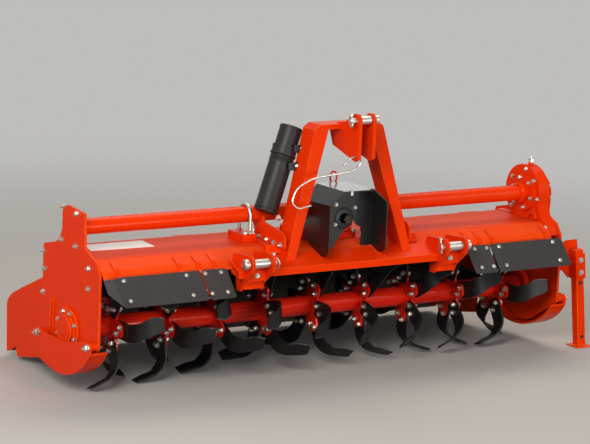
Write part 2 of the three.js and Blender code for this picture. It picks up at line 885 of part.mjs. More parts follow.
const panelLine = [
  [panelTop.y, panelTop.z],
  [panelFoot.y, panelFoot.z],
];
const armLine = [
  ...offsetLine([[-202, hoodTop - 12.2], [hoodSlopeFoot.y, hoodSlopeFoot.z], [-266, hoodTop - 61.7]], -seat),
  [panelTop.y + 1, panelTop.z - 12.5],
  [panelFoot.y + 26, panelFoot.z + 16.5],
];
function guardPanel(x0, x1, armPlaces) {
  const sheet = foldedSheet(panelLine, panelThickness, x0, x1);
  const arms = armPlaces.map((x) => {
    const run = foldedSheet(armLine, -panelArmThickness, x - panelArmWidth / 2, x + panelArmWidth / 2);
    return cut(run, hoodSpace);
  });
  return join(sheet, ...arms);
}

// A corner flap that closes the gap between an outer panel and the side plate.
function panelFlap(side) {
  const face = [
    [panelOuter - 4, panelTop.y, panelTop.z],
    [panelOuter + 44, panelTop.y + 48, panelTop.z - 6],
    [panelOuter + 42, panelTop.y - 12, panelTop.z - 68],
    [panelOuter - 4, panelFoot.y, panelFoot.z],
  ].map(([x, y, z]) => [side * x, y, z]);
  const back = face.map(([x, y, z]) => [x, y + panelThickness, z]);
  const flap = geometryOf(wasm.Manifold.hull([...face, ...back]));
  const plateSpace = box(
    Math.min(side * (insideFace - seat), side * (outsideFace + 5)),
    Math.max(side * (insideFace - seat), side * (outsideFace + 5)),
    plateFront - seat,
    0,
    0,
    400,
  );
  return cut(flap, hoodSpace, plateSpace);
}

// each panel's ends, the places of its two arms, and the side of its flap
const panelPlaces = {
  left_outer_panel: { ends: [-panelOuter, -panelSplit - panelGap / 2], arms: [20 - panelOuter, -816], flap: -1 },
  left_inner_panel: { ends: [-panelSplit + panelGap / 2, -panelInner], arms: [-726, -655] },
  right_inner_panel: { ends: [panelInner, panelSplit - panelGap / 2], arms: [655, 724] },
  right_outer_panel: { ends: [panelSplit + panelGap / 2, panelOuter], arms: [806, 1041], flap: 1 },
};
for (const [name, { ends, arms, flap }] of Object.entries(panelPlaces)) {
  const panel = guardPanel(...ends, arms);
  add(name, flap ? join(panel, panelFlap(flap)) : panel, black);
}

// ---- Skids --------------------------------------------------------------------------------

function skid(side) {
  const sole = [
    [-256, -52],
    [-214, -102],
    [-146, -146],
    [-60, -177],
    [20, -183],
    [110, -172],
    [300, -126],
  ];
  const outline = [
    ...sole,
    [skidPivot.y + 26, skidPivot.z],
    [skidPivot.y, skidPivot.z + 24],
    [skidPivot.y - 30, skidPivot.z + 12],
    [-20, -44],
    [skidFrontBolt.y + 20, skidFrontBolt.z + 18],
    [skidFrontBolt.y - 20, skidFrontBolt.z + 10],
  ];
  const outer = side * skidOuterFace;
  const inner = outer - side * skidPlateThickness;
  const plate = alongX(outline, Math.min(outer, inner), Math.max(outer, inner));
  const strip = foldedSheet(
    [...sole.slice(0, -1), [252, -137.5]],
    skidPlateThickness,
    Math.min(outer, side * skidInnerEdge),
    Math.max(outer, side * skidInnerEdge),
  );
  const bolts = [skidPivot, skidFrontBolt].map(({ y, z }) =>
    barX(side * (outsideFace + seat), outer, y, z, skidBoltRadius + 8, 14),
  );
  return join(plate, strip, ...bolts);
}
add("left_skid", skid(-1), orange);
add("right_skid", skid(1), orange);

// ---- Tail board ---------------------------------------------------------------------------

const boardLine = [
  [boardHinge.y, boardHinge.z],
  [270, 172],
  [509, 68],
  [617, 17],
  [boardReach, -20],
  [boardReach - 8, boardFootZ],
];
const boardSheet = foldedSheet(boardLine, boardThickness, -boardHalfWidth, boardHalfWidth);
const cheekOutline = [
  ...offsetLine(boardLine, 1).slice(1),
  [boardReach - 44, boardFootZ + 10],
  [boardReach - 82, boardFootZ + 38],
  [boardReach - 108, boardFootZ - 3],
  [278, -190],
];
const boardCheeks = [-1, 1].map((side) => {
  const outer = side * boardHalfWidth;
  const inner = outer - side * boardThickness;
  return alongX(cheekOutline, Math.min(outer, inner), Math.max(outer, inner));
});
const hingePin = barX(
  -insideFace + seat,
  insideFace - seat,
  boardHinge.y,
  boardHinge.z,
  boardHingeRadius,
  16,
);
add("tail_board", join(boardSheet, ...boardCheeks, hingePin), orange);

// ---- Parking stand ------------------------------------------------------------------------

const groundZ = -tipRadius - 1.5;
const legHalf = standLegSide / 2;
const sleeveHalf = legHalf + standClearance + standSleeveWall;
const sleeveTop = 176;
const sleeveFoot = 60;

// Turns a piece built upright so that the stand's foot leans outwards.
function leaned(geometry) {
  return geometry
    .translate(-standX, 0, -sleeveTop)
    .rotateY(THREE.MathUtils.degToRad(-standLean))
    .translate(standX, 0, sleeveTop);
}

const bracketPlate = alongY(
  [
    [outsideFace + seat, 96],
    [outsideFace + seat, 196],
    [standX - 44, 232],
    [standX + 18, 234],
    [standX + 34, 130],
    [standX + 40, 60],
    [standX - 22, 60],
    [standX - 56, 96],
  ],
  standY + sleeveHalf - 1,
  standY + sleeveHalf + 8,
);
const sleeve = cut(
  box(standX - sleeveHalf, standX + sleeveHalf, standY - sleeveHalf, standY + sleeveHalf,
    sleeveFoot, sleeveTop),
  box(standX - legHalf - standClearance, standX + legHalf + standClearance,
    standY - legHalf - standClearance, standY + legHalf + standClearance,
    sleeveFoot - 1, sleeveTop + 1),
);
add("stand_bracket", join(bracketPlate, leaned(sleeve)), orange);

const footX = standX + (sleeveTop - groundZ) * Math.tan(THREE.MathUtils.degToRad(standLean));
const standPost = box(standX - legHalf, standX + legHalf, standY - legHalf, standY + legHalf,
  groundZ - 40, sleeveTop + 20);
const belowFoot = box(standX - 200, standX + 200, standY - 100, standY + 100,
  groundZ - 100, groundZ + 6);
const standBase = box(footX - standBasePlate / 2, footX + standBasePlate / 2,
  standY - standBasePlate / 2, standY + standBasePlate / 2, groundZ, groundZ + 7);
add("stand_leg", join(cut(leaned(standPost), belowFoot), standBase), orange);

// ---- Tube for the papers ------------------------------------------------------------------

const paperFoot = new THREE.Vector3(-340, legTop.y + legDepth + 16, hoodTop + 137);
const paperTop = new THREE.Vector3(-195, legTop.y + legDepth + 58, hoodTop + 487);
const paperAlong = paperTop.clone().sub(paperFoot).normalize();
const at = (distance) => paperFoot.clone().addScaledVector(paperAlong, distance).toArray();
const paperLength = paperTop.distanceTo(paperFoot);
const capLength = 130;
const capStart = paperLength - capLength;
const clipRadius = 11;
const clips = [0.25, 0.72].map((share) => {
  const start = at(capStart * share);
  return bar(start, [start[0] + 105, legTop.y + legDepth - 22, start[2]], clipRadius, 12);
});
const tubeInside = bar(at(paperTubeWall), at(capStart + 1), paperTubeRadius - paperTubeWall, 24);
const tubeBody = bar(at(0), at(capStart), paperTubeRadius, 24);
add("paper_tube", cut(join(tubeBody, ...clips), tubeInside, leg(-1, seat)), plastic);
const paperCap = join(
  bar(at(capStart + seat), at(capStart + 40), paperTubeRadius + 4, 24),
  bar(at(capStart + 38), at(paperLength), paperTubeRadius - 3, 24),
);
add("paper_tube_cap", paperCap, plastic);

// ---- Placing ------------------------------------------------------------------------------

machine.updateMatrixWorld(true);
const extent = new THREE.Box3().setFromObject(machine, true);
machine.position.set(
  -(extent.min.x + extent.max.x) / 2,
  -(extent.min.y + extent.max.y) / 2,
  -extent.min.z,
);

export default machine;
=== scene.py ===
"""Looks of a tractor-mounted rotary tiller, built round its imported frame.

Sizes are millimetres about the rotor's axis, as in the frame's own model: +X to the machine's right,
-Y towards the tractor, +Z up. Blank.done turns them into metres in the frame.
"""

import functools
import logging
import math
from dataclasses import dataclass, field
from enum import Enum
from typing import Iterable, Protocol, Sequence

import bmesh
import bpy
from mathutils import Matrix, Vector


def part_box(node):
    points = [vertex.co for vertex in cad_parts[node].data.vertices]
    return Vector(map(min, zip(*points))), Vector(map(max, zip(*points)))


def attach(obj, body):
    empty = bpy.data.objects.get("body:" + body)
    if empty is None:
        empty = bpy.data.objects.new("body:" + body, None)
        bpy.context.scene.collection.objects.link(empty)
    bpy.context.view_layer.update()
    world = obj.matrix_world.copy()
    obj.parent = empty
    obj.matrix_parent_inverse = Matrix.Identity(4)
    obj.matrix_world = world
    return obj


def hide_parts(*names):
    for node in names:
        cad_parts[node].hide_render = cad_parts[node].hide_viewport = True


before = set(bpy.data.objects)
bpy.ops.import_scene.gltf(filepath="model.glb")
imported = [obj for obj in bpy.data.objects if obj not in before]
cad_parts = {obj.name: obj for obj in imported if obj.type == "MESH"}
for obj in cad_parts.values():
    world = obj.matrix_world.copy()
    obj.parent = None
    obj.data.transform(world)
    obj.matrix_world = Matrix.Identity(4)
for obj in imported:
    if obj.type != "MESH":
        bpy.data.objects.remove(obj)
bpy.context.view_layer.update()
log = logging.getLogger("tiller")

MM = 0.001
Spot = tuple[float, float, float]
Line = Sequence[tuple[float, float]]
Places = Sequence[tuple[Spot, Spot]]  # where each bolt sits, and which way it faces
Tree = bpy.types.NodeTree
Socket = bpy.types.NodeSocket
Piece = bpy.types.Object


def rotor_axis() -> Vector:
    """The middle of the rotor's axis in the frame.

    Returns:
        Its place, in metres.
    """
    hood_low, hood_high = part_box("hood")
    shaft_low, shaft_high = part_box("rotor_shaft")
    shaft = (shaft_low + shaft_high) / 2
    return Vector(((hood_low.x + hood_high.x) / 2, shaft.y, shaft.z))


AXIS = rotor_axis()


class Body(str, Enum):
    """The frame's moving bodies."""

    FRAME = "frame"
    ROTOR = "rotor"
    INPUT = "input"
    BOARD = "board"
    STAND = "stand"
    LEFT_SKID = "left_skid"
    RIGHT_SKID = "right_skid"
    TUBE_CAP = "tube_cap"
    HOOK = "hook"


class Slot(str, Enum):
    """The record's material slots."""

    ORANGE = "orange_paint"
    RED = "red_paint"
    SHEET = "black_sheet"
    TINE = "tine_steel"
    ZINC = "zinc_steel"
    PLASTIC = "black_plastic"


class Finish(Protocol):
    """What a piece is made of and how its surface was made."""

    title: str
    slot: Slot

    def dress(self, tree: Tree) -> None:
        """Builds the finish's nodes."""


def linear(colour: str) -> tuple[float, float, float, float]:
    """Turns an sRGB hex colour to linear light.

    Args:
        colour: six hex digits after a #.

    Returns:
        Red, green, blue and an alpha of 1.
    """
    parts = [int(colour[i : i + 2], 16) / 255 for i in (1, 3, 5)]
    return (*[c / 12.92 if c <= 0.04045 else ((c + 0.055) / 1.055) ** 2.4 for c in parts], 1.0)


def set_inputs(tree: Tree, node: bpy.types.Node, inputs: dict) -> None:
    """Gives a node its values and links.

    Args:
        tree: the node's tree.
        node: the node.
        inputs: a value or a linked socket for each input, by name or place.
    """
    for key, value in inputs.items():
        if isinstance(value, Socket):
            tree.links.new(value, node.inputs[key])
        else:
            node.inputs[key].default_value = value


def add_node(tree: Tree, kind: str, inputs: dict | None = None, **settings: object) -> bpy.types.Node:
    """Adds a node with its settings, values and links.

    Args:
        tree: the tree it goes in.
        kind: the node's type.
        inputs: a value or a linked socket for each input, by name or place.
        settings: the node's own properties.

    Returns:
        The node.
    """
    node = tree.nodes.new(kind)
    for key, value in settings.items():
        setattr(node, key, value)
    set_inputs(tree, node, inputs or {})
    return node


def calc(tree: Tree, operation: str, a: object, b: object) -> Socket:
    """One step of arithmetic on values or sockets."""
    return add_node(tree, "ShaderNodeMath", {0: a, 1: b}, operation=operation).outputs[0]


def placed(name: str, data: bpy.types.ID) -> Piece:
    """Puts a mesh, a lamp or a camera in the scene.

    Args:
        name: its name.
        data: the mesh, the lamp or the camera.

    Returns:
        Its object.
    """
    thing = bpy.data.objects.new(name, data)
    bpy.context.scene.collection.objects.link(thing)
    return thing


# ---- Finishes ---------------------------------------------------------------------------------

MIX_A, MIX_B, MIX_OUT = 6, 7, 2  # a colour Mix node's sockets


def noise(tree: Tree, scale: float, detail: float) -> Socket:
    """Noise in the piece's own space.

    Args:
        tree: the material's tree.
        scale: how many patches there are to a metre.
        detail: how many finer layers lie over them.

    Returns:
        The noise, from 0 to 1.
    """
    place = add_node(tree, "ShaderNodeTexCoord").outputs["Object"]
    made = add_node(tree, "ShaderNodeTexNoise", {"Vector": place, "Scale": scale, "Detail": detail})
    return made.outputs["Fac"]


def mixed(tree: Tree, share: Socket, first: Socket | str, second: str) -> Socket:
    """A colour between two, as share goes from 0 to 1."""
    ends = {0: share, MIX_A: linear(first) if isinstance(first, str) else first, MIX_B: linear(second)}
    return add_node(tree, "ShaderNodeMix", ends, data_type="RGBA").outputs[MIX_OUT]


def ranged(tree: Tree, value: Socket, low: float, high: float) -> Socket:
    """A value from 0 to 1, spread from low to high."""
    made = add_node(tree, "ShaderNodeMapRange", {"Value": value, "To Min": low, "To Max": high})
    return made.outputs["Result"]


def bumped(tree: Tree, height: Socket, strength: float, distance: float = 0.001) -> Socket:
    """The normal of a surface that rises with height, over a distance in metres."""
    made = add_node(tree, "ShaderNodeBump", {"Height": height, "Strength": strength, "Distance": distance})
    return made.outputs["Normal"]


def surface(tree: Tree, inputs: dict[str, object]) -> None:
    """Sets and links the inputs of a material's shader."""
    set_inputs(tree, tree.nodes["Principled BSDF"], inputs)


@dataclass(frozen=True)
class Enamel:
    """Sprayed enamel on steel: a full gloss with faint orange peel, and a paler tone on broken edges that is
    partly a thinner, worn film and partly a painted highlight.
    """

    title: str
    slot: Slot
    colour: str
    deep: str
    # the paler tone of broken edges: partly a thin, worn film, partly a painted highlight along them
    edge: str
    roughness: float = 0.34
    peel: float = 0.06
    grain: float = 230.0  # orange peel is 1 to 2 mm; drawn at about 4 mm so that it shows
    coat: float = 0.0
    glint: str = "#ffd08a"

    def dress(self, tree: Tree) -> None:
        """Builds the enamel's nodes.

        Args:
            tree: the material's tree.
        """
        # film thickness drifts over a hand's width, 140 mm
        tone = mixed(tree, noise(tree, 7.0, 3.0), self.colour, self.deep)
        # rim marks the broken edges; with the rub noise it lays the paler edge tone on them in patches,
        # partly wear and partly a painted highlight
        rim = add_node(tree, "ShaderNodeAttribute", attribute_name="edge").outputs["Fac"]
        rub = noise(tree, 60.0, 4.0)
        surface(tree, {
            "Base Color": mixed(tree, calc(tree, "MULTIPLY", rim, rub), tone, self.edge),
            "Roughness": ranged(tree, rub, self.roughness - 0.05, self.roughness + 0.07),
            "Normal": bumped(tree, noise(tree, self.grain, 1.0), self.peel, 0.002),
            "Specular IOR Level": 0.14,
            "Specular Tint": linear(self.glint),
            "Coat Weight": self.coat,
            "Coat Roughness": 0.1,
        })


@dataclass(frozen=True)
class BlackFilm:
    """Black powder coat or moulding: a low even sheen with a fine grain that breaks its highlights."""

    title: str
    slot: Slot
    colour: str
    pale: str
    roughness: float
    grain: float  # per metre
    relief: float
    coat: float = 0.0

    def dress(self, tree: Tree) -> None:
        """Builds the coating's nodes.

        Args:
            tree: the material's tree.
        """
        dust = noise(tree, 11.0, 5.0)
        surface(tree, {
            "Base Color": mixed(tree, dust, self.colour, self.pale),
            "Roughness": ranged(tree, dust, self.roughness - 0.06, self.roughness + 0.08),
            "Normal": bumped(tree, noise(tree, self.grain, 2.0), self.relief),
            "Specular IOR Level": 0.3,
            "Coat Weight": self.coat,
            "Coat Roughness": 0.15,
        })


@dataclass(frozen=True)
class BladeSteel:
    """Quenched spring steel under a thin black dip: near black, with grey steel bare at edge and tip."""

    title: str = "tine_spring_steel_black_dipped"
    slot: Slot = Slot.TINE
    dip: str = "#151414"
    bare: str = "#77736f"

    def dress(self, tree: Tree) -> None:
        """Builds the steel's nodes.

        Args:
            tree: the material's tree.
        """
        scale = noise(tree, 90.0, 5.0)
        rub = add_node(tree, "ShaderNodeAttribute", attribute_name="wear").outputs["Fac"]
        broken = calc(tree, "MULTIPLY", rub, scale)
        bare = add_node(tree, "ShaderNodeMapRange", {"Value": broken, "From Min": 0.3, "From Max": 0.75})
        share = bare.outputs["Result"]
        surface(tree, {
            "Base Color": mixed(tree, share, self.dip, self.bare),
            "Metallic": share,
            "Specular IOR Level": 0.22,
            "Roughness": ranged(tree, scale, 0.34, 0.55),
            "Normal": bumped(tree, scale, 0.12),
        })


@dataclass(frozen=True)
class ZincPlate:
    """Bright zinc-plated steel: a cool silver whose gloss clouds over in patches a few millimetres wide."""

    title: str = "steel_zinc_plated"
    slot: Slot = Slot.ZINC
    bright: str = "#dedbd4"
    cloudy: str = "#b4b0a8"

    def dress(self, tree: Tree) -> None:
        """Builds the plating's nodes.

        Args:
            tree: the material's tree.
        """
        cloud = noise(tree, 140.0, 4.0)
        surface(tree, {
            "Base Color": mixed(tree, cloud, self.bright, self.cloudy),
            "Roughness": ranged(tree, cloud, 0.24, 0.44),
            "Metallic": 1.0,
        })


@dataclass(frozen=True)
class OiledSteel:
    """Machined steel under preserving oil: a dark, soft shine with faint turning marks."""

    title: str = "steel_machined_oiled"
    slot: Slot = Slot.ZINC
    dark: str = "#2a2725"
    light: str = "#3a3633"

    def dress(self, tree: Tree) -> None:
        """Builds the steel's nodes.

        Args:
            tree: the material's tree.
        """
        place = add_node(tree, "ShaderNodeTexCoord").outputs["Object"]
        # turning marks 0.3 mm apart; drawn 3 mm apart so that they show
        wave = add_node(tree, "ShaderNodeTexWave", {"Vector": place, "Scale": 105.0, "Distortion": 0.6},
                        bands_direction="Y")
        marks = wave.outputs["Fac"]
        surface(tree, {
            "Base Color": mixed(tree, marks, self.dark, self.light),
            "Normal": bumped(tree, marks, 0.05),
            "Metallic": 1.0,
            "Roughness": 0.4,
        })


@functools.cache
def material(finish: Finish) -> bpy.types.Material:
    """Makes a finish's material, once.

    Args:
        finish: the finish.

    Returns:
        Its material.
    """
    made = bpy.data.materials.new(finish.title)
    made.use_nodes = True
    finish.dress(made.node_tree)
    return made


ORANGE = Enamel("enamel_orange_sprayed", Slot.ORANGE, "#e23400", "#d42a00", "#f0701c")
SHEET_ORANGE = Enamel("enamel_orange_sheet", Slot.ORANGE, "#e64510", "#d83a08", "#f0701c", 0.52)
TUBE_ORANGE = Enamel("enamel_orange_tube", Slot.ORANGE, "#e23400", "#d42a00", "#f0701c", 0.26, coat=0.12)
RED = Enamel("enamel_red_sprayed", Slot.RED, "#dc2413", "#c81b0c", "#e85a3c", 0.24, coat=0.25)
CAST_RED = Enamel("cast_iron_red_enamel", Slot.RED, "#d2220f", "#b8170c", "#e04a30", 0.4, 0.3, 170.0)
POWDER = BlackFilm("sheet_steel_black_powder_coat", Slot.SHEET, "#2a2829", "#363334", 0.45, 420.0, 0.08)
GUARD_BLACK = BlackFilm("guard_steel_black_gloss", Slot.SHEET, "#0f0e0e", "#151313", 0.3, 420.0, 0.05, 0.8)
# painted shade: a near-black film for the insides of the hood and the tail board and the ribs there, dark
# because they lie in shade
SHADE_BLACK = BlackFilm("painted_shade_black_lining", Slot.SHEET, "#191413", "#2a1f1c", 0.62, 90.0, 0.3)
MOULDED = BlackFilm("polyethylene_black_moulded", Slot.PLASTIC, "#1c1a1b", "#262425", 0.42, 300.0, 0.2)
VINYL = BlackFilm("vinyl_label_white_blank", Slot.ZINC, "#f4f3f1", "#ecebe8", 0.35, 300.0, 0.02)
BLADE = BladeSteel()
OILED = OiledSteel()
ZINC = ZincPlate()


# ---- Shaping ----------------------------------------------------------------------------------

CORNER_SHARE = 0.45  # the most of a straight run that the curve of one corner takes up
ONE_POINT = 0.03  # points nearer to each other than this are one, in millimetres
ONE_FACE = 1.5  # faces that meet at less than this are one, in degrees
SHARP_PAST = 8.0  # shading stays sharp on edges this many degrees past a piece's crease
WIRE_SIDES = 10


def rounded(points: Iterable[Sequence[float]], radius: float, closed: bool = False,
            steps: int = 5) -> list[Vector]:
    """Rounds the corners of a line of straight runs.

    Args:
        points: the corners.
        radius: how far before and after a corner its curve starts.
        closed: whether the last point joins the first.
        steps: how many points each corner becomes, less one.

    Returns:
        The rounded line.
    """
    corners = [Vector(p) for p in points]
    last = len(corners) - 1
    line: list[Vector] = []
    for i, corner in enumerate(corners):
        if not closed and i in (0, last):
            line.append(corner)
            continue
        before, after = corners[i - 1] - corner, corners[(i + 1) % len(corners)] - corner
        reach = min(radius, before.length * CORNER_SHARE, after.length * CORNER_SHARE)
        entry, leave = corner + before.normalized() * reach, corner + after.normalized() * reach
        for k in range(steps + 1):
            t = k / steps
            line.append(entry.lerp(corner, t).lerp(corner.lerp(leave, t), t))
    return line


def flowing(points: Line, steps: int = 6) -> list[Vector]:
    """A smooth line through every point.

    Args:
        points: the points.
        steps: how many parts each run is cut into.

    Returns:
        The line, with the first and last point kept.
    """
    p = [Vector(q) for q in points]
    p = [2 * p[0] - p[1], *p, 2 * p[-1] - p[-2]]
    line = []
    for i in range(1, len(p) - 2):
        for k in range(steps):
            t = k / steps
            line.append(0.5 * (2 * p[i] + (p[i + 1] - p[i - 1]) * t
                               + (2 * p[i - 1] - 5 * p[i] + 4 * p[i + 1] - p[i + 2]) * t**2
                               + (3 * p[i] - p[i - 1] - 3 * p[i + 1] + p[i + 2]) * t**3))
    return [*line, p[-2]]


def beside(line: Sequence[Vector], distance: float) -> list[Vector]:
    """The line moved sideways, to the left of its own direction.

    Args:
        line: points in a plane.
        distance: how far.

    Returns:
        The moved line.
    """
    normals = [Vector((a.y - b.y, b.x - a.x)).normalized() for a, b in zip(line, line[1:])]
    moved = []
    for i, point in enumerate(line):
        before, after = normals[max(i - 1, 0)], normals[min(i, len(normals) - 1)]
        mitre = (before + after).normalized()
        moved.append(point + mitre * (distance / mitre.dot(after)))
    return moved


def spokes(along: Vector, side: Vector, sides: int) -> list[Vector]:
    """Unit vectors all round a direction.

    Args:
        along: the direction.
        side: the first of them, square to it.
        sides: how many there are.

    Returns:
        The vectors.
    """
    up = along.cross(side)
    turns = [2 * math.pi * k / sides for k in range(sides)]
    return [side * math.cos(t) + up * math.sin(t) for t in turns]


class Blank:
    """A mesh in the making, in millimetres about the rotor's axis."""

    def __init__(self) -> None:
        """Starts with nothing."""
        self.mesh = bmesh.new()

    def skin(self, rings: Sequence[Sequence[Vector]], closed: bool = False) -> "Blank":
        """Joins rings of points into a closed body.

        Args:
            rings: rings with the same count of points.
            closed: whether the last ring joins the first; otherwise both ends are filled.

        Returns:
            The blank.
        """
        rows = [[self.mesh.verts.new(p) for p in ring] for ring in rings]
        faces = []
        for a, b in zip(rows, rows[1:] + rows[:1] if closed else rows[1:]):
            for i in range(len(a)):
                j = (i + 1) % len(a)
                faces.append(self.mesh.faces.new((a[i], a[j], b[j], b[i])))
        if not closed:
            faces += [self.mesh.faces.new(rows[0][::-1]), self.mesh.faces.new(rows[-1])]
        bmesh.ops.recalc_face_normals(self.mesh, faces=faces)
        return self

    def along_x(self, outline: Sequence[Sequence[float]], low: float, high: float) -> "Blank":
        """An outline in (y, z), drawn out from low to high along X."""
        return self.skin([[Vector((x, p[0], p[1])) for p in outline] for x in (low, high)])

    def along_y(self, outline: Sequence[Sequence[float]], low: float, high: float) -> "Blank":
        """An outline in (x, z), drawn out from low to high along Y."""
        return self.skin([[Vector((p[0], y, p[1])) for p in outline] for y in (low, high)])

    def slab(self, corners: Sequence[Spot], thickness: float, radius: float = 0.0) -> "Blank":
        """A flat plate.

        Args:
            corners: its corners, in order, in one plane.
            thickness: how far it grows along the corners' right-hand normal.
            radius: the rounding of its corners.

        Returns:
            The blank.
        """
        face = rounded(corners, radius, closed=True) if radius else [Vector(c) for c in corners]
        a, b, c = (Vector(corners[i]) for i in range(3))
        grow = (b - a).cross(c - b).normalized() * thickness
        return self.skin([face, [p + grow for p in face]])

    def folded(self, line: Sequence[Vector], thickness: float, low: float, high: float) -> "Blank":
        """A sheet that follows a line in (y, z), thickened to its left, from low to high along X."""
        return self.along_x([*line, *beside(line, thickness)[::-1]], low, high)

    def turned(self, start: Spot, along: Spot, profile: Line, sides: int = 40,
               closed: bool = False) -> "Blank":
        """A turned body.

        Args:
            start: a point on its axis.
            along: its axis.
            profile: (distance along the axis, radius) pairs.
            sides: how many points go round.
            closed: whether the profile is a loop, as on a ring or a tube.

        Returns:
            The blank.
        """
        axis = Vector(along).normalized()
        rays = spokes(axis, axis.orthogonal().normalized(), sides)
        rings = [[Vector(start) + axis * t + ray * r for ray in rays] for t, r in profile]
        return self.skin(rings, closed)

    def bar(self, start: Spot, end: Spot, radius: float, chamfer: float = 1.0, sides: int = 36) -> "Blank":
        """A round bar with broken ends.

        Args:
            start: one end of its axis.
            end: the other end.
            radius: its radius.
            chamfer: the width of its broken ends.
            sides: how many points go round.

        Returns:
            The blank.
        """
        along = Vector(end) - Vector(start)
        length, foot = along.length, radius - chamfer
        profile = [(0, foot), (chamfer, radius), (length - chamfer, radius), (length, foot)]
        return self.turned(start, along, profile, sides)

    def sweep(self, path: Sequence[Vector], radius: float, sides: int = 14, closed: bool = False) -> "Blank":
        """A round rod along a path.

        Args:
            path: the points of its axis.
            radius: its radius.
            sides: how many points go round.
            closed: whether the last point joins the first.

        Returns:
            The blank.
        """
        count = len(path)
        rings, side = [], None
        for i, point in enumerate(path):
            if closed:
                along = path[(i + 1) % count] - path[i - 1]
            else:
                along = path[min(i + 1, count - 1)] - path[max(i - 1, 0)]
            along.normalize()
            side = along.orthogonal() if side is None else side - along * side.dot(along)
            side.normalize()
            rings.append([point + ray * radius for ray in spokes(along, side, sides)])
        return self.skin(rings, closed)

    def ring(self, middle: Spot, normal: Spot, radius: float, wire: float, sides: int = 28) -> "Blank":
        """A ring of round wire.

        Args:
            middle: its middle.
            normal: the axis that it goes round.
            radius: its radius, to the wire's middle.
            wire: the wire's radius.
            sides: how many points go round.

        Returns:
            The blank.
        """
        turns = [2 * math.pi * k / WIRE_SIDES for k in range(WIRE_SIDES)]
        profile = [(wire * math.sin(t), radius + wire * math.cos(t)) for t in turns]
        return self.turned(middle, normal, profile, sides, closed=True)

    def node(self, name: str) -> "Blank":
        """Adds a CAD node's own shape, with its triangles joined to flat faces.

        Args:
            name: the node.

        Returns:
            The blank.
        """
        copy = bmesh.new()
        copy.from_mesh(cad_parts[name].data)
        into = Matrix.Scale(1 / MM, 4) @ Matrix.Translation(-AXIS)
        bmesh.ops.transform(copy, matrix=into, verts=copy.verts)
        bmesh.ops.remove_doubles(copy, verts=copy.verts, dist=ONE_POINT)
        flat = math.radians(ONE_FACE)
        bmesh.ops.dissolve_limit(copy, angle_limit=flat, verts=copy.verts, edges=copy.edges)
        part = bpy.data.meshes.new(name)
        copy.to_mesh(part)
        copy.free()
        self.mesh.from_mesh(part)
        bpy.data.meshes.remove(part)
        return self

    def seed(self, name: str, crease: float) -> bpy.types.Mesh:
        """Hands the shape over as a mesh in metres, for a tree to set out.

        Args:
            name: the mesh's name.
            crease: the angle past which an edge stays sharp, in degrees.

        Returns:
            The mesh.
        """
        bmesh.ops.scale(self.mesh, vec=(MM, MM, MM), verts=self.mesh.verts)
        data = bpy.data.meshes.new(name)
        self.mesh.to_mesh(data)
        self.mesh.free()
        data.shade_smooth()
        data.set_sharp_from_angle(angle=math.radians(crease))
        return data

    def done(self, name: str, body: Body, finish: Finish, bevel: float = 1.2, segments: int = 2,
             crease: float = 32.0, replaces: Sequence[str] = ()) -> Piece:
        """Breaks the edges, and hands the piece to its body.

        Args:
            name: the piece's name.
            body: the body that it rides on.
            finish: what it is made of.
            bevel: the width of its broken edges, or 0.
            segments: the steps in each broken edge.
            crease: the angle past which an edge is broken or stays sharp, in degrees.
            replaces: the CAD nodes that it stands for.

        Returns:
            The piece.
        """
        mesh = self.mesh
        rim = mesh.faces.layers.float.new("edge")
        if bevel:
            sharp = [e for e in mesh.edges if e.is_manifold and e.calc_face_angle() > math.radians(crease)]
            made = bmesh.ops.bevel(mesh, geom=sharp, offset=bevel, offset_type="OFFSET", segments=segments,
                                   profile=0.5, affect="EDGES", clamp_overlap=True)
            for face in made["faces"]:
                face[rim] = 1.0
        out_of = Matrix.Translation(AXIS) @ Matrix.Scale(MM, 4)
        bmesh.ops.transform(mesh, matrix=out_of, verts=mesh.verts)
        data = bpy.data.meshes.new(name)
        mesh.to_mesh(data)
        mesh.free()
        data.shade_smooth()
        data.set_sharp_from_angle(angle=math.radians(crease + SHARP_PAST))
        data.materials.append(material(finish))
        piece = placed(name, data)
        if bevel:
            weighted = piece.modifiers.new("even_shading", "WEIGHTED_NORMAL")
            weighted.keep_sharp = True
        return handed(piece, body, replaces)


def handed(piece: Piece, body: Body, replaces: Sequence[str] = ()) -> Piece:
    """Gives a finished piece its body and the nodes that it stands for.

    Args:
        piece: the piece.
        body: the body that it rides on.
        replaces: the CAD nodes that it stands for.

    Returns:
        The piece.
    """
    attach(piece, body.value)
    if replaces:
        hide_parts(*replaces)
    log.info("%s rides on %s with %d faces", piece.name, body.value, len(piece.data.polygons))
    return piece


# ---- Geometry Nodes ---------------------------------------------------------------------------


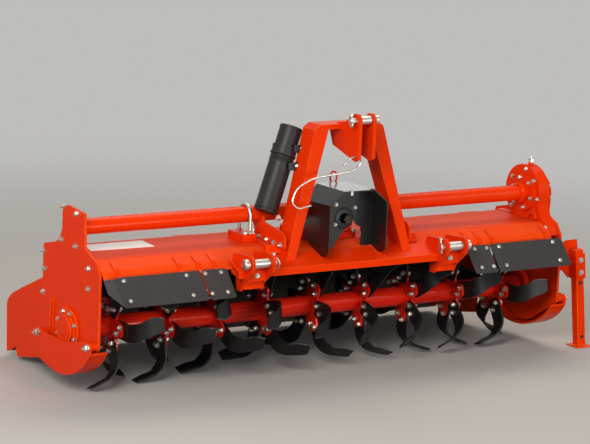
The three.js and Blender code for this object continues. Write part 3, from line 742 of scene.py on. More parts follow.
class TreeMaker:
    """Starts a Geometry Nodes tree with named inputs, and runs it."""

    def __init__(self, name: str, sizes: dict[str, str]) -> None:
        """Makes the tree's sockets.

        Args:
            name: the tree's name.
            sizes: each size's name and its socket type.
        """
        self.tree = bpy.data.node_groups.new(name, "GeometryNodeTree")
        faces = self.tree.interface
        faces.new_socket("Seed shape", in_out="INPUT", socket_type="NodeSocketGeometry")
        for key, kind in {**sizes, "Finish": "NodeSocketMaterial"}.items():
            faces.new_socket(key, in_out="INPUT", socket_type=kind)
        faces.new_socket("Result", in_out="OUTPUT", socket_type="NodeSocketGeometry")
        self.given = add_node(self.tree, "NodeGroupInput").outputs

    def close(self, shape: Socket) -> None:
        """Ends the tree in real geometry with its finish.

        Args:
            shape: what the tree has made.
        """
        real = add_node(self.tree, "GeometryNodeRealizeInstances", {"Geometry": shape})
        set_finish = add_node(self.tree, "GeometryNodeSetMaterial",
                              {"Geometry": real.outputs[0], "Material": self.given["Finish"]})
        add_node(self.tree, "NodeGroupOutput", {"Result": set_finish.outputs[0]})

    def grown(self, name: str, seed: bpy.types.Mesh, sizes: dict[str, object]) -> Piece:
        """Runs the tree on a mesh.

        Args:
            name: the name of the result.
            seed: the mesh that the tree starts from.
            sizes: a value for each named input.

        Returns:
            A new object with the result as a plain mesh.
        """
        source = placed(name + "_seed", seed)
        modifier = source.modifiers.new("tree", "NODES")
        modifier.node_group = self.tree
        for item in self.tree.interface.items_tree:
            if item.in_out == "INPUT" and item.name in sizes:
                modifier[item.identifier] = sizes[item.name]
        bpy.context.view_layer.update()
        whole = source.evaluated_get(bpy.context.evaluated_depsgraph_get())
        plain = bpy.data.meshes.new_from_object(whole)
        plain.name = name
        bpy.data.objects.remove(source)
        return placed(name, plain)


def vector(tree: Tree, **parts: object) -> Socket:
    """A vector with the X, Y or Z that is given, and 0 for the rest."""
    return add_node(tree, "ShaderNodeCombineXYZ", parts).outputs[0]


def set_out(tree: Tree, points: Socket, shape: Socket, turn: Socket) -> Socket:
    """Copies of a shape on points, each with its turn."""
    inputs = {"Points": points, "Instance": shape, "Rotation": turn}
    return add_node(tree, "GeometryNodeInstanceOnPoints", inputs).outputs[0]


CORNER_RATIO = 0.577  # of a hexagon's width across flats, from its middle to a corner
CHAMFER_SHARE = 0.22  # of a bolt head's height, taken up by the bevel on top
SPIN_SEED = 7


@functools.cache
def bolt_tree() -> TreeMaker:
    """A tree that puts a hexagon head, its washer and its thread on each point, along the point's facing.

    Returns:
        The tree.
    """
    maker = TreeMaker("hexagon_bolts", {
        "Across flats": "NodeSocketFloat", "Head height": "NodeSocketFloat",
        "Washer radius": "NodeSocketFloat", "Washer height": "NodeSocketFloat",
        "Thread radius": "NodeSocketFloat", "Thread length": "NodeSocketFloat",
    })
    tree, given = maker.tree, maker.given

    def disc(sides: int, foot: object, top: object, depth: object, lift: object) -> Socket:
        """A straight or tapered disc.

        Args:
            sides: how many points go round.
            foot: its radius below.
            top: its radius above.
            depth: its height.
            lift: how high it sits.

        Returns:
            The disc.
        """
        sizes = {"Vertices": sides, "Radius Bottom": foot, "Radius Top": top, "Depth": depth}
        cone = add_node(tree, "GeometryNodeMeshCone", sizes).outputs[0]
        lifted = {"Geometry": cone, "Translation": vector(tree, Z=lift)}
        return add_node(tree, "GeometryNodeTransform", lifted).outputs[0]

    washer, height, thread = given["Washer height"], given["Head height"], given["Thread radius"]
    corner = calc(tree, "MULTIPLY", given["Across flats"], CORNER_RATIO)
    body = calc(tree, "MULTIPLY", height, 1 - CHAMFER_SHARE)
    bevel = calc(tree, "MULTIPLY", height, CHAMFER_SHARE)
    shoulder = calc(tree, "ADD", washer, body)
    reach = calc(tree, "ADD", calc(tree, "ADD", washer, height), given["Thread length"])
    parts = [
        disc(18, given["Washer radius"], given["Washer radius"], washer, 0.0),
        disc(6, corner, corner, body, washer),
        disc(6, corner, calc(tree, "MULTIPLY", corner, 0.86), bevel, shoulder),
        disc(10, thread, calc(tree, "MULTIPLY", thread, 0.8), reach, 0.0),
    ]
    whole = add_node(tree, "GeometryNodeJoinGeometry")
    for part in parts:
        tree.links.new(part, whole.inputs[0])
    facing = add_node(tree, "GeometryNodeInputNamedAttribute", {"Name": "facing"}, data_type="FLOAT_VECTOR")
    turn = add_node(tree, "FunctionNodeAlignRotationToVector", {"Vector": facing.outputs[0]}, axis="Z")
    bolts = set_out(tree, given["Seed shape"], whole.outputs[0], turn.outputs[0])
    chance = add_node(tree, "FunctionNodeRandomValue", {2: 0.0, 3: math.pi / 3, "Seed": SPIN_SEED},
                      data_type="FLOAT")
    spun = add_node(tree, "GeometryNodeRotateInstances",
                    {"Instances": bolts, "Rotation": vector(tree, Z=chance.outputs[1])})
    maker.close(spun.outputs[0])
    return maker


@functools.cache
def rotor_tree() -> TreeMaker:
    """A tree that sets one shape round each flange and along the rotor, with a twist from flange to flange.

    Returns:
        The tree.
    """
    maker = TreeMaker("rotor_rows", {
        "Flanges": "NodeSocketInt", "Pitch": "NodeSocketFloat", "Round": "NodeSocketInt",
        "Start": "NodeSocketFloat", "Twist": "NodeSocketFloat", "Axis point": "NodeSocketVector",
    })
    tree, given = maker.tree, maker.given
    index = add_node(tree, "GeometryNodeInputIndex").outputs[0]
    spots = add_node(tree, "GeometryNodePoints", {"Count": given["Round"]}).outputs[0]
    # every other shape is turned over, so that it points the other way along the rotor
    about = vector(tree, Z=calc(tree, "MULTIPLY", calc(tree, "MODULO", index, 2.0), math.pi))
    shapes = set_out(tree, spots, given["Seed shape"], about)
    step = calc(tree, "DIVIDE", 2 * math.pi, given["Round"])
    wheel = add_node(tree, "GeometryNodeRotateInstances",
                     {"Instances": shapes, "Local Space": False,
                      "Rotation": vector(tree, X=calc(tree, "MULTIPLY", index, step))})
    half = calc(tree, "MULTIPLY", calc(tree, "SUBTRACT", given["Flanges"], 1.0), -0.5)
    row = add_node(tree, "GeometryNodeMeshLine",
                   {"Count": given["Flanges"],
                    "Start Location": vector(tree, X=calc(tree, "MULTIPLY", half, given["Pitch"])),
                    "Offset": vector(tree, X=given["Pitch"])})
    angle = calc(tree, "ADD", given["Start"], calc(tree, "MULTIPLY", index, given["Twist"]))
    rows = set_out(tree, row.outputs[0], wheel.outputs[0], vector(tree, X=angle))
    moved = add_node(tree, "GeometryNodeTransform",
                     {"Geometry": rows, "Translation": given["Axis point"]})
    maker.close(moved.outputs[0])
    return maker


@dataclass(frozen=True)
class BoltSize:
    """A hexagon bolt or nut with its washer, in millimetres."""

    across: float
    head: float
    washer: float
    sheet: float
    thread: float
    stub: float

    def mesh(self, places: Places, about: Vector = AXIS) -> bpy.types.Mesh:
        """Points with a facing each.

        Args:
            places: where each bolt sits and which way it faces.
            about: where the millimetres are counted from, in metres.

        Returns:
            The points.
        """
        points = bpy.data.meshes.new("bolt_points")
        points.from_pydata([about + Vector(spot) * MM for spot, _ in places], [], [])
        facing = points.attributes.new("facing", "FLOAT_VECTOR", "POINT")
        facing.data.foreach_set("vector", [c for _, way in places for c in Vector(way).normalized()])
        return points

    def grown(self, name: str, points: bpy.types.Mesh) -> Piece:
        """Bolts on points.

        Args:
            name: the name of the result.
            points: the points, with a facing each.

        Returns:
            The bolts.
        """
        sizes = {"Across flats": self.across, "Head height": self.head, "Washer radius": self.washer,
                 "Washer height": self.sheet, "Thread radius": self.thread, "Thread length": self.stub}
        values = {key: size * MM for key, size in sizes.items()}
        return bolt_tree().grown(name, points, {**values, "Finish": material(ZINC)})

    def fitted(self, name: str, places: Places, body: Body = Body.FRAME) -> Piece:
        """Bolts that ride on a body."""
        return handed(self.grown(name, self.mesh(places)), body)


M8 = BoltSize(13, 5.5, 8.5, 1.4, 4, 2)
M10 = BoltSize(17, 7, 11, 2, 5, 4)
M12 = BoltSize(19, 8, 13, 2.4, 6, 6)
M16 = BoltSize(26, 11, 17, 3, 8, 12)
TINE_BOLT = BoltSize(22, 9, 13, 2, 7, 5)
FILLER_PLUG = BoltSize(24, 16, 15, 4, 7, 8)


# ---- Sub-assemblies ---------------------------------------------------------------------------

INSIDE = 1178.0  # half the width between the side plates
OUTSIDE = 1188.0  # half the width over them
HOOD_TOP = 325.0
TUBE_Y, TUBE_Z = -45.0, 438.0  # the axis of the cross tubes
SIDES = (("left", -1), ("right", 1))
LEFT, RIGHT, FRONT, UP = (-1, 0, 0), (1, 0, 0), (0, -1, 0), (0, 0, 1)


def around(y: float, z: float, radius: float, degrees: Iterable[float]) -> list[tuple[float, float]]:
    """Points in (y, z) round a middle, each at its angle from +Y towards +Z."""
    return [(y + radius * math.cos(t), z + radius * math.sin(t)) for t in map(math.radians, degrees)]


def even(count: int, first: float = 0.0) -> list[float]:
    """Angles in degrees that go evenly round."""
    return [first + 360 * k / count for k in range(count)]


def upright(x: float, way: Spot, spots: Line) -> Places:
    """Places on an upright face at x, from (y, z) spots."""
    return [((x, y, z), way) for y, z in spots]


def sleeve(bore: float, radius: float, length: float, chamfer: float = 1.5) -> Line:
    """The section of a tube with broken ends, as a loop of (distance, radius) pairs."""
    foot, end = radius - chamfer, length - chamfer
    return [(0, bore), (0, foot), (chamfer, radius), (end, radius), (length, foot), (length, bore)]


def as_modelled(name: str, bevel: float = 1.6, segments: int = 2, body: Body = Body.FRAME,
                finish: Finish = ORANGE, title: str = "") -> None:
    """Finishes a CAD node in its own shape.

    Args:
        name: the node.
        bevel: the width of its broken edges.
        segments: the steps in each broken edge.
        body: the body that it rides on.
        finish: what it is made of.
        title: the piece's name, if it is not the node's name with _painted.
    """
    Blank().node(name).done(title or name + "_painted", body, finish, bevel, segments, replaces=[name])


@dataclass
class SidePlates:
    """The two end plates, the bearing housing and their bolts."""

    left_bolts: Line = ((69, 504), (-49, 494), (73, 365), (-47, 358), (228, 290), (216, 215), (-158, 286),
                        (226, 114), (-163, 203))
    right_bolts: Line = ((225, 285), (225, 60), (-190, 250), (-215, 120))
    housing_bolt_circle: float = 77.0
    housing_bolt_count: int = 8

    def build(self) -> None:
        """Builds and dresses both plates."""
        for word, _ in SIDES:
            as_modelled(f"{word}_side_plate")
        as_modelled("rotor_bearing_housing", 2.5, 3, title="bearing_housing_painted")
        M12.fitted("left_plate_bolts", upright(-OUTSIDE, LEFT, self.left_bolts))
        M12.fitted("right_plate_bolts", upright(OUTSIDE, RIGHT, self.right_bolts))
        circle = around(0, 0, self.housing_bolt_circle, even(self.housing_bolt_count, 22.5))
        M10.fitted("bearing_housing_bolts", upright(-OUTSIDE - 10, LEFT, circle))
        cap = Blank()
        cap.turned((-OUTSIDE - 25.5, 0, 0), LEFT, [(0, 34), (0.2, 34), (0.5, 33.5), (0.7, 6)], 40)
        cap.ring((-OUTSIDE - 25.6, 0, 0), LEFT, 50, 2.5, 40)
        cap.done("bearing_cap_rim", Body.FRAME, ORANGE, 0)


@dataclass
class Hood:
    """The folded sheet over the rotor."""

    line: Line = ((228, 302), (137, 325), (-178, 325), (-245, 291), (-270, 258))
    thickness: float = 6.0
    fold: float = 9.0
    case_side: float = 1119.0  # the gear case stands to the right of this
    case_rear: float = 170.0  # and in front of this
    label: Sequence[tuple[float, float]] = ((-1066, 110), (-791, 104), (-804, -28), (-1100, -12))

    def build(self) -> None:
        """Builds the hood, its blank label and the seam where the gear case sits."""
        end = INSIDE - 0.3
        line = rounded(self.line, self.fold)
        sheet = Blank().folded(line, self.thickness, -end, self.case_side)
        # beside the gear case, only the lower part of the rear slope goes on to the side plate
        (low_y, low_z), (top_y, top_z) = self.line[:2]
        slope = (top_z - low_z) / (low_y - top_y)
        cut = low_z + (low_y - self.case_rear) * slope
        rest = [Vector((low_y, low_z)), Vector((self.case_rear, cut))]
        sheet.folded(rest, self.thickness, self.case_side - 0.5, end)
        sheet.done("hood_painted", Body.FRAME, SHEET_ORANGE, 1.2, replaces=["hood"])
        # a thin near-black sheet under the hood paints the shade beneath it
        under = beside(line, self.thickness + 0.15)
        coat = Blank().folded(under, 0.8, -end + 2, self.case_side - 2)
        coat.done("hood_painted_shade_lining", Body.FRAME, SHADE_BLACK, 0)
        corners = [(x, y, HOOD_TOP + 0.05) for x, y in self.label]
        Blank().slab(corners[::-1], 0.5, 4).done("blank_label", Body.FRAME, VINYL, 0)


@dataclass
class CrossTubes:
    """The support tube and the drive-shaft tube above the hood, with their end flanges."""

    radius: float = 35.0
    bore: float = 29.0
    gap: float = 112.3  # from the middle to where each tube leaves the gearbox
    case_end: float = 1106.7
    flange_x: float = 1078.0
    flange: Line = ((0, 36), (0, 40), (6, 47), (28, 47), (28, 36))
    collar: Line = ((0, 34.5), (0, 41), (3, 40), (9, 35.2), (9, 34.5))

    def tube(self, low: float, high: float) -> Blank:
        """One tube, from low to high along X."""
        section = sleeve(self.bore, self.radius, high - low, 1)
        return Blank().turned((low, TUBE_Y, TUBE_Z), RIGHT, section, 64, closed=True)

    def build(self) -> None:
        """Builds both tubes, the drive-shaft tube's flange and the weld collars."""
        end = -INSIDE + 0.3
        support, drive = self.tube(end, -self.gap), self.tube(self.gap, self.case_end)
        drive.turned((self.flange_x, TUBE_Y, TUBE_Z), RIGHT, self.flange, 56, closed=True)
        for blank, x in ((support, end), (support, -124), (drive, self.gap)):
            blank.turned((x, TUBE_Y, TUBE_Z), RIGHT, self.collar, 48, closed=True)
        support.done("support_tube_painted", Body.FRAME, TUBE_ORANGE, 0, replaces=["support_tube"])
        drive.done("drive_shaft_tube_painted", Body.FRAME, TUBE_ORANGE, 0, replaces=["drive_shaft_tube"])


@dataclass
class Gearbox:
    """The cast gearbox in the middle, its input shaft and the guard over it."""

    half: float = 96.0
    foot: float = 325.4
    top: float = 522.0
    shaft_z: float = 428.0
    shaft_radius: float = 22.0
    splines: int = 6
    spline: Line = ((-0.26, 17.6), (-0.25, 21.7), (-0.12, 22), (0.12, 22), (0.25, 21.7), (0.26, 17.6),
                    (0.4, 17.4), (0.52, 17.4), (0.65, 17.4))  # (turn, radius) over a spline and its groove

    def casting(self) -> None:
        """The casting with its covers, ribs, bolts and dipstick."""
        foot, high = self.foot + 20, self.top - 6
        outline = [(-165, foot), (-165, 488), (-115, high), (20, high), (70, 466), (70, foot)]
        body = Blank().along_x(rounded(outline, 16, closed=True), -self.half, self.half)
        body.done("gearbox_casting", Body.FRAME, CAST_RED, 9, 4, replaces=["gearbox"])
        parts = Blank()
        base = [(-116, -173, self.foot), (116, -173, self.foot), (116, 88, self.foot), (-116, 88, self.foot)]
        parts.slab(base, 25, 14)
        for _, side in SIDES:
            cover = [(0, 86), (9, 86), (12, 78), (24, 77)]
            parts.turned((side * 88, TUBE_Y, TUBE_Z), (side, 0, 0), cover, 56)
            for y in (-135, -88, -2, 40):
                rib = [(y - 5, 350), (y + 5, 350), (y + 5, 480), (y - 5, 480)]
                parts.along_x(rib, *sorted((side * 90, side * 103)))
        neck = [(0, 74), (14, 74), (18, 66), (60, 60), (84, 56)]
        parts.turned((0, -150, self.shaft_z), FRONT, neck, 56)
        parts.slab([(-70, -100, 513), (70, -100, 513), (70, 12, 513), (-70, 12, 513)], 9.5, 12)
        parts.done("gearbox_covers", Body.FRAME, CAST_RED, 2.2, 3)
        lid = [((x, y, self.top + 0.4), UP) for x in (-58, 58) for y in (-90, 2)]
        feet = [((x, y, self.foot + 25), UP) for x in (-106, 106) for y in (-160, 76)]
        circle = around(TUBE_Y, TUBE_Z, 76, even(6, 30))
        covers = [((side * 100.5, y, z), (side, 0, 0)) for _, side in SIDES for y, z in circle]
        M10.fitted("gearbox_bolts", [*lid, *feet, *covers])
        self.dipstick(34, -98)

    def dipstick(self, x: float, y: float) -> None:
        """The dipstick, with a loop to pull it by.

        Args:
            x: its place across the gearbox.
            y: its place along it.
        """
        blank = Blank()
        blank.turned((x, y, 515), UP, [(0, 13), (14, 13), (16, 11), (22, 11), (24, 5), (40, 4.5)], 24)
        turns = [math.radians(-90 + 15 * k) for k in range(24)]
        loop = [Vector((x + 17 * math.cos(t), y, 580 + 26 * math.sin(t))) for t in turns]
        blank.sweep(loop, 4, 10, closed=True)
        blank.done("dipstick", Body.FRAME, RED, 0)

    def shaft(self) -> None:
        """The splined end of the input shaft."""
        blank = Blank()
        blank.bar((0, -2, self.shaft_z), (0, -228, self.shaft_z), self.shaft_radius, 2)
        outline = []
        for k in range(self.splines):
            middle = 2 * math.pi * k / self.splines
            for turn, r in self.spline:
                angle = middle + turn
                outline.append((r * math.cos(angle), self.shaft_z + r * math.sin(angle)))
        blank.along_y(outline, -274.6, -226)
        blank.done("input_shaft_splined", Body.INPUT, OILED, 0.5, 1, replaces=["input_shaft"])

    def guard(self) -> None:
        """The guard with its screws, roof clip and seal round the shaft."""
        as_modelled("input_guard", 1.4, finish=GUARD_BLACK, title="input_guard_coated")
        spots = [((-43, -240, 490), FRONT), ((55, -240, 471), FRONT), ((-44, -240, 404), FRONT)]
        M8.fitted("guard_screws", spots)
        clip = Blank()
        clip.slab([(-46, -353.4, 566), (-34, -353.4, 566), (-34, -353.4, 548), (-46, -353.4, 548)], 1.6, 2)
        clip.slab([(-46, -355, 567.2), (-34, -355, 567.2), (-34, -338, 567.2), (-46, -338, 567.2)], 1.6, 2)
        clip.done("guard_clip", Body.FRAME, ZINC, 0.3, 1)
        section = [(0, 23.5), (0, 47), (3, 46), (6, 40), (6, 23.5)]
        seal = Blank().turned((0, -240.3, self.shaft_z), FRONT, section, 48, closed=True)
        seal.done("shaft_seal_ring", Body.FRAME, MOULDED, 0)

    def build(self) -> None:
        """Builds the gearbox, the shaft and the guard."""
        self.casting()
        self.shaft()
        self.guard()


@dataclass
class GearCase:
    """The side gear case at the right with its cover."""

    inner_face: float = 1121.0
    flange_face: float = 1107.0
    cover_face: float = 1196.3
    bolts: Line = ((44, 497), (-52, 545), (-111, 500), (-141, 420), (40, 365), (-213, 302), (100, 300),
                   (-120, 355), (64, 430))
    flange_bolts: int = 6
    shares: tuple[float, ...] = (0.25, 0.5, 0.75)  # where the bolts sit along each straight edge

    def edge(self, start: tuple[float, float], end: tuple[float, float]) -> list[tuple[float, float]]:
        """Places of the cover's bolts along a straight edge."""
        (y, z), (far_y, far_z) = start, end
        return [(y + (far_y - y) * s, z + (far_z - z) * s) for s in self.shares]

    def rim(self) -> list[tuple[float, float]]:
        """Places of the cover's bolts, round its edge.

        Returns:
            A (y, z) for each.
        """
        head = around(TUBE_Y, TUBE_Z, 88, range(-10, 191, 33))
        foot = around(0, 0, 110, range(190, 351, 32))
        return [*head, *self.edge(head[-1], foot[0]), *foot, *self.edge(head[0], foot[-1])]

    def build(self) -> None:
        """Builds the case, its cover, lifting lug, plug and bolts."""
        as_modelled("gear_case", 3.0, 3)
        as_modelled("gear_case_cover", 5.0, 3)
        circle = around(TUBE_Y, TUBE_Z, 68, even(self.flange_bolts, 15))
        face = upright(self.inner_face, LEFT, self.bolts)
        M10.fitted("gear_case_bolts", [*face, *upright(self.flange_face, LEFT, circle)])
        M8.fitted("gear_cover_bolts", upright(self.cover_face, RIGHT, self.rim()))
        turns = [math.radians(15 * k) for k in range(13)]
        arc = [Vector((1113, -120 + 30 * math.cos(t), 332 + 26 * math.sin(t))) for t in turns]
        Blank().sweep(arc, 7, 14).done("gear_case_lug", Body.FRAME, ORANGE, 0)
        FILLER_PLUG.fitted("filler_plug", [((1150, TUBE_Y, 575), UP)])


@dataclass
class Rotor:
    """The rotor tube with its flanges, tines and tine bolts, set by one rule along its length."""

    flanges: int = 9
    pitch: float = 250.0
    round_flange: int = 6
    start: float = 92.0  # degrees, for the first flange
    twist: float = 15.0  # degrees from each flange to the next
    tube: float = 44.0
    thickness: float = 8.0
    bend: float = 88.0  # radius of a blade's curve
    flare: float = 20.0  # degrees that the curve goes past square
    reach: float = 120.0  # from the flange's middle to the tip, along X
    tip: float = 256.0  # from the rotor's axis to the tip
    root: float = 62.0
    near: float = 5.0
    sweep: float = 14.0  # degrees that a blade trails behind its root
    bolt_spots: Line = ((-15, 82), (14, 106))  # (sideways, radius) of a tine's two bolts
    curve_steps: int = 14
    lobe_line: Line = ((-24, 84), (-17, 108), (-12, 118), (0, 120), (12, 118), (17, 108), (24, 84), (30, 79))
    collar: Line = ((0, 43), (0, 56), (6, 51), (8, 44.5), (8, 43))
    end_ring: Line = ((0, 43), (0, 60), (4, 74), (30, 74), (34, 70), (34, 43))
    width: float = 39.0  # from the blade's middle to its front and rear edge
    shank: float = 30.0  # the same at its root
    lead_bow: tuple[float, float] = (52.0, 0.0041)  # from this x on, the front edge falls back by the square
    trail_bow: tuple[float, float] = (96.0, 0.25)  # from this x on, the rear edge comes forward evenly
    ground_from: float = 30.0  # the front edge is ground from this x on
    ground: float = 1.6  # thickness of the ground edge
    broken: float = 1.2  # width of the other edges' chamfer
    unworn: int = 6  # steps from the root that keep their black dip

    def rows(self, name: str, seed: bpy.types.Mesh, count: int, finish: Finish,
             replaces: Sequence[str] = ()) -> Piece:
        """Sets one shape round every flange.

        Args:
            name: the name of the piece.
            seed: the shape, in metres about its flange's middle.
            count: how many go round one flange.
            finish: what they are made of.
            replaces: the CAD nodes that they stand for.

        Returns:
            The piece.
        """
        piece = rotor_tree().grown(name, seed, {
            "Flanges": self.flanges, "Pitch": self.pitch * MM, "Round": count,
            "Start": math.radians(self.start), "Twist": math.radians(self.twist),
            "Axis point": AXIS, "Finish": material(finish),
        })
        return handed(piece, Body.ROTOR, replaces)

    def stations(self) -> list[tuple[float, float, float, float]]:
        """The blade's outer face, from root to tip.

        Returns:
            An (x, radius, normal's x, normal's radius) for each step.
        """
        flare = math.radians(self.flare)
        turn = math.pi / 2 + flare
        middle = self.near + self.bend
        run = (self.reach - middle - self.bend * math.cos(turn)) / math.cos(flare)
        height = self.tip - self.bend * math.sin(turn) - run * math.sin(flare)
        places = [(self.near, self.root + (height - self.root) * s, -1.0, 0.0) for s in (0, 0.33, 0.66)]
        for k in range(self.curve_steps + 1):
            angle = math.pi + (turn - math.pi) * k / self.curve_steps
            c, s = math.cos(angle), math.sin(angle)
            places.append((middle + self.bend * c, height + self.bend * s, c, s))
        x, r, nx, nr = places[-1]
        for share in (0.35, 0.7, 1.0):
            places.append((x + (self.reach - x) * share, r + (self.tip - r) * share, nx, nr))
        return places

    def blade(self) -> bpy.types.Mesh:
        """One tine, with a ground edge.

        Returns:
            Its mesh, in metres about its flange's middle.
        """
        rings = []
        places = self.stations()
        (lead_from, fall), (trail_from, rise) = self.lead_bow, self.trail_bow
        thick, chamfer = self.thickness, self.broken
        for i, (x, r, nx, nr) in enumerate(places):
            lead = self.width - max(0.0, x - lead_from) ** 2 * fall
            trail = -self.width + max(0.0, x - trail_from) * rise
            if i == 0:
                lead, trail = self.shank, -self.shank
            ground = self.ground if x > self.ground_from else thick - chamfer
            outer = Vector((x, 0, r))
            inwards = Vector((-nx, 0, -nr))
            ring = [(trail, chamfer), (trail + chamfer, 0.0), (lead - 14, 0.0), (lead - 1, 0.0),
                    (lead, ground / 2), (lead - 1, ground), (lead - 14, thick), (trail + chamfer, thick),
                    (trail, thick - chamfer)]
            sweep = Matrix.Rotation(-math.radians(self.sweep) * (i / (len(places) - 1)) ** 2, 3, "X")
            rings.append([sweep @ (outer + inwards * depth + Vector((0, y, 0))) for y, depth in ring])
        mesh = Blank().skin(rings).seed("tine", 38)
        wear = mesh.attributes.new("wear", "FLOAT", "POINT")
        per_ring = len(rings[0])
        for i in range(len(rings)):
            far = max(0.0, (i - self.unworn) / (len(rings) - 1 - self.unworn))
            for k in range(per_ring):
                keen = 1.0 if k in (3, 4, 5) else 0.12  # the three points of the ground edge
                wear.data[i * per_ring + k].value = far * keen
        return mesh

    def flange(self) -> bpy.types.Mesh:
        """One lobed flange plate.

        Returns:
            Its mesh, in metres about its middle.
        """
        outline = []
        for k in range(self.round_flange):
            middle = math.pi / 2 + 2 * math.pi * k / self.round_flange
            for turn, r in self.lobe_line:
                angle = middle + math.radians(turn)
                outline.append((r * math.cos(angle), r * math.sin(angle)))
        blank = Blank().along_x(outline, -6, 4.6)
        sharp = [e for e in blank.mesh.edges if e.calc_face_angle() > math.radians(60)]
        bmesh.ops.bevel(blank.mesh, geom=sharp, offset=1.2, segments=2, profile=0.5, affect="EDGES")
        blank.turned((4, 0, 0), RIGHT, self.collar, 40, closed=True)
        blank.turned((-5.5, 0, 0), LEFT, self.collar, 40, closed=True)
        return blank.seed("flange", 35)

    def build(self) -> None:
        """Builds the rotor."""
        nodes = [f"tine_flange_{i + 1}" for i in range(self.flanges)]
        self.rows("tines", self.blade(), self.round_flange, BLADE, nodes)
        self.rows("rotor_flanges", self.flange(), 1, RED)
        heads = [((self.near + self.thickness, y, r), RIGHT) for y, r in self.bolt_spots]
        nuts = [((-6.0, y, r), LEFT) for y, r in self.bolt_spots]
        pair = TINE_BOLT.grown("tine_bolt_set", TINE_BOLT.mesh([*heads, *nuts], Vector()))
        seed = pair.data
        bpy.data.objects.remove(pair)
        self.rows("tine_bolts", seed, self.round_flange, ZINC)
        half = INSIDE - 14
        shaft = Blank().bar((-half, 0, 0), (half, 0, 0), self.tube, 1.5, 72)
        shaft.bar((-OUTSIDE - 11.5, 0, 0), (OUTSIDE + 7.5, 0, 0), 30, 1.5, 48)
        for _, side in SIDES:
            shaft.turned((side * 1128, 0, 0), (side, 0, 0), self.end_ring, 56, closed=True)
        shaft.done("rotor_tube_painted", Body.ROTOR, RED, 0, replaces=["rotor_shaft"])


@dataclass
class Hitch:
    """The front beam, the lower clevises and their pins."""

    spacing: float = 496.0
    pin_y: float = -368.0
    pin_z: float = 294.0
    gap: float = 88.0
    ear: float = 12.0

    def linchpin(self, blank: Blank, spot: Spot, reach: float, out: float) -> None:
        """A linchpin through a pin's end, with its ring hanging outside.

        Args:
            blank: what it is added to.
            spot: where it goes through the pin's axis.
            reach: how far it stands out above and below.
            out: 1 where outside is to the right, -1 where it is to the left.
        """
        x, y, z = spot
        blank.bar((x, y + 6, z + reach), (x, y - 6, z - reach), 4.5, 1, 16)
        blank.turned((x, y + 6, z + reach - 2), UP, [(0, 7), (2, 9), (10, 9), (12, 7)], 20)
        blank.ring((x + out * 6, y - 2, z - 2), (1, 0.25 * out, 0.1), 24, 2.4)

    def pin(self, word: str, side: int) -> None:
        """One lower pin with its head, sleeve and linchpin.

        Args:
            word: the side's name.
            side: -1 for the left and 1 for the right.
        """
        y, z = self.pin_y, self.pin_z
        middle = side * self.spacing
        reach = self.gap / 2 + self.ear
        outer, inner = middle + side * (reach + 26), middle - side * (reach + 20)
        blank = Blank().bar((inner, y, z), (outer, y, z), 16.8, 2.5)
        half = self.gap / 2 - 4
        blank.turned((middle - half, y, z), RIGHT, sleeve(17, 20, 2 * half), 44, closed=True)
        head = [(0, 17), (0, 21), (2, 23), (20, 23), (22.5, 20), (22.5, 17)]
        blank.turned((middle + side * (reach + 3), y, z), (side, 0, 0), head, 36, closed=True)
        self.linchpin(blank, (middle - side * (reach + 11), y, z), 30, -side)
        blank.done(f"{word}_lower_pin_plated", Body.FRAME, ZINC, 0, replaces=[f"{word}_lower_pin"])

    def build(self) -> None:
        """Builds the beam and both clevises."""
        as_modelled("hitch_beam")
        for word, side in SIDES:
            as_modelled(f"{word}_lower_clevis")
            self.pin(word, side)
        M10.fitted("clevis_bolts", [((side * self.spacing, -346.4, 238), FRONT) for _, side in SIDES])


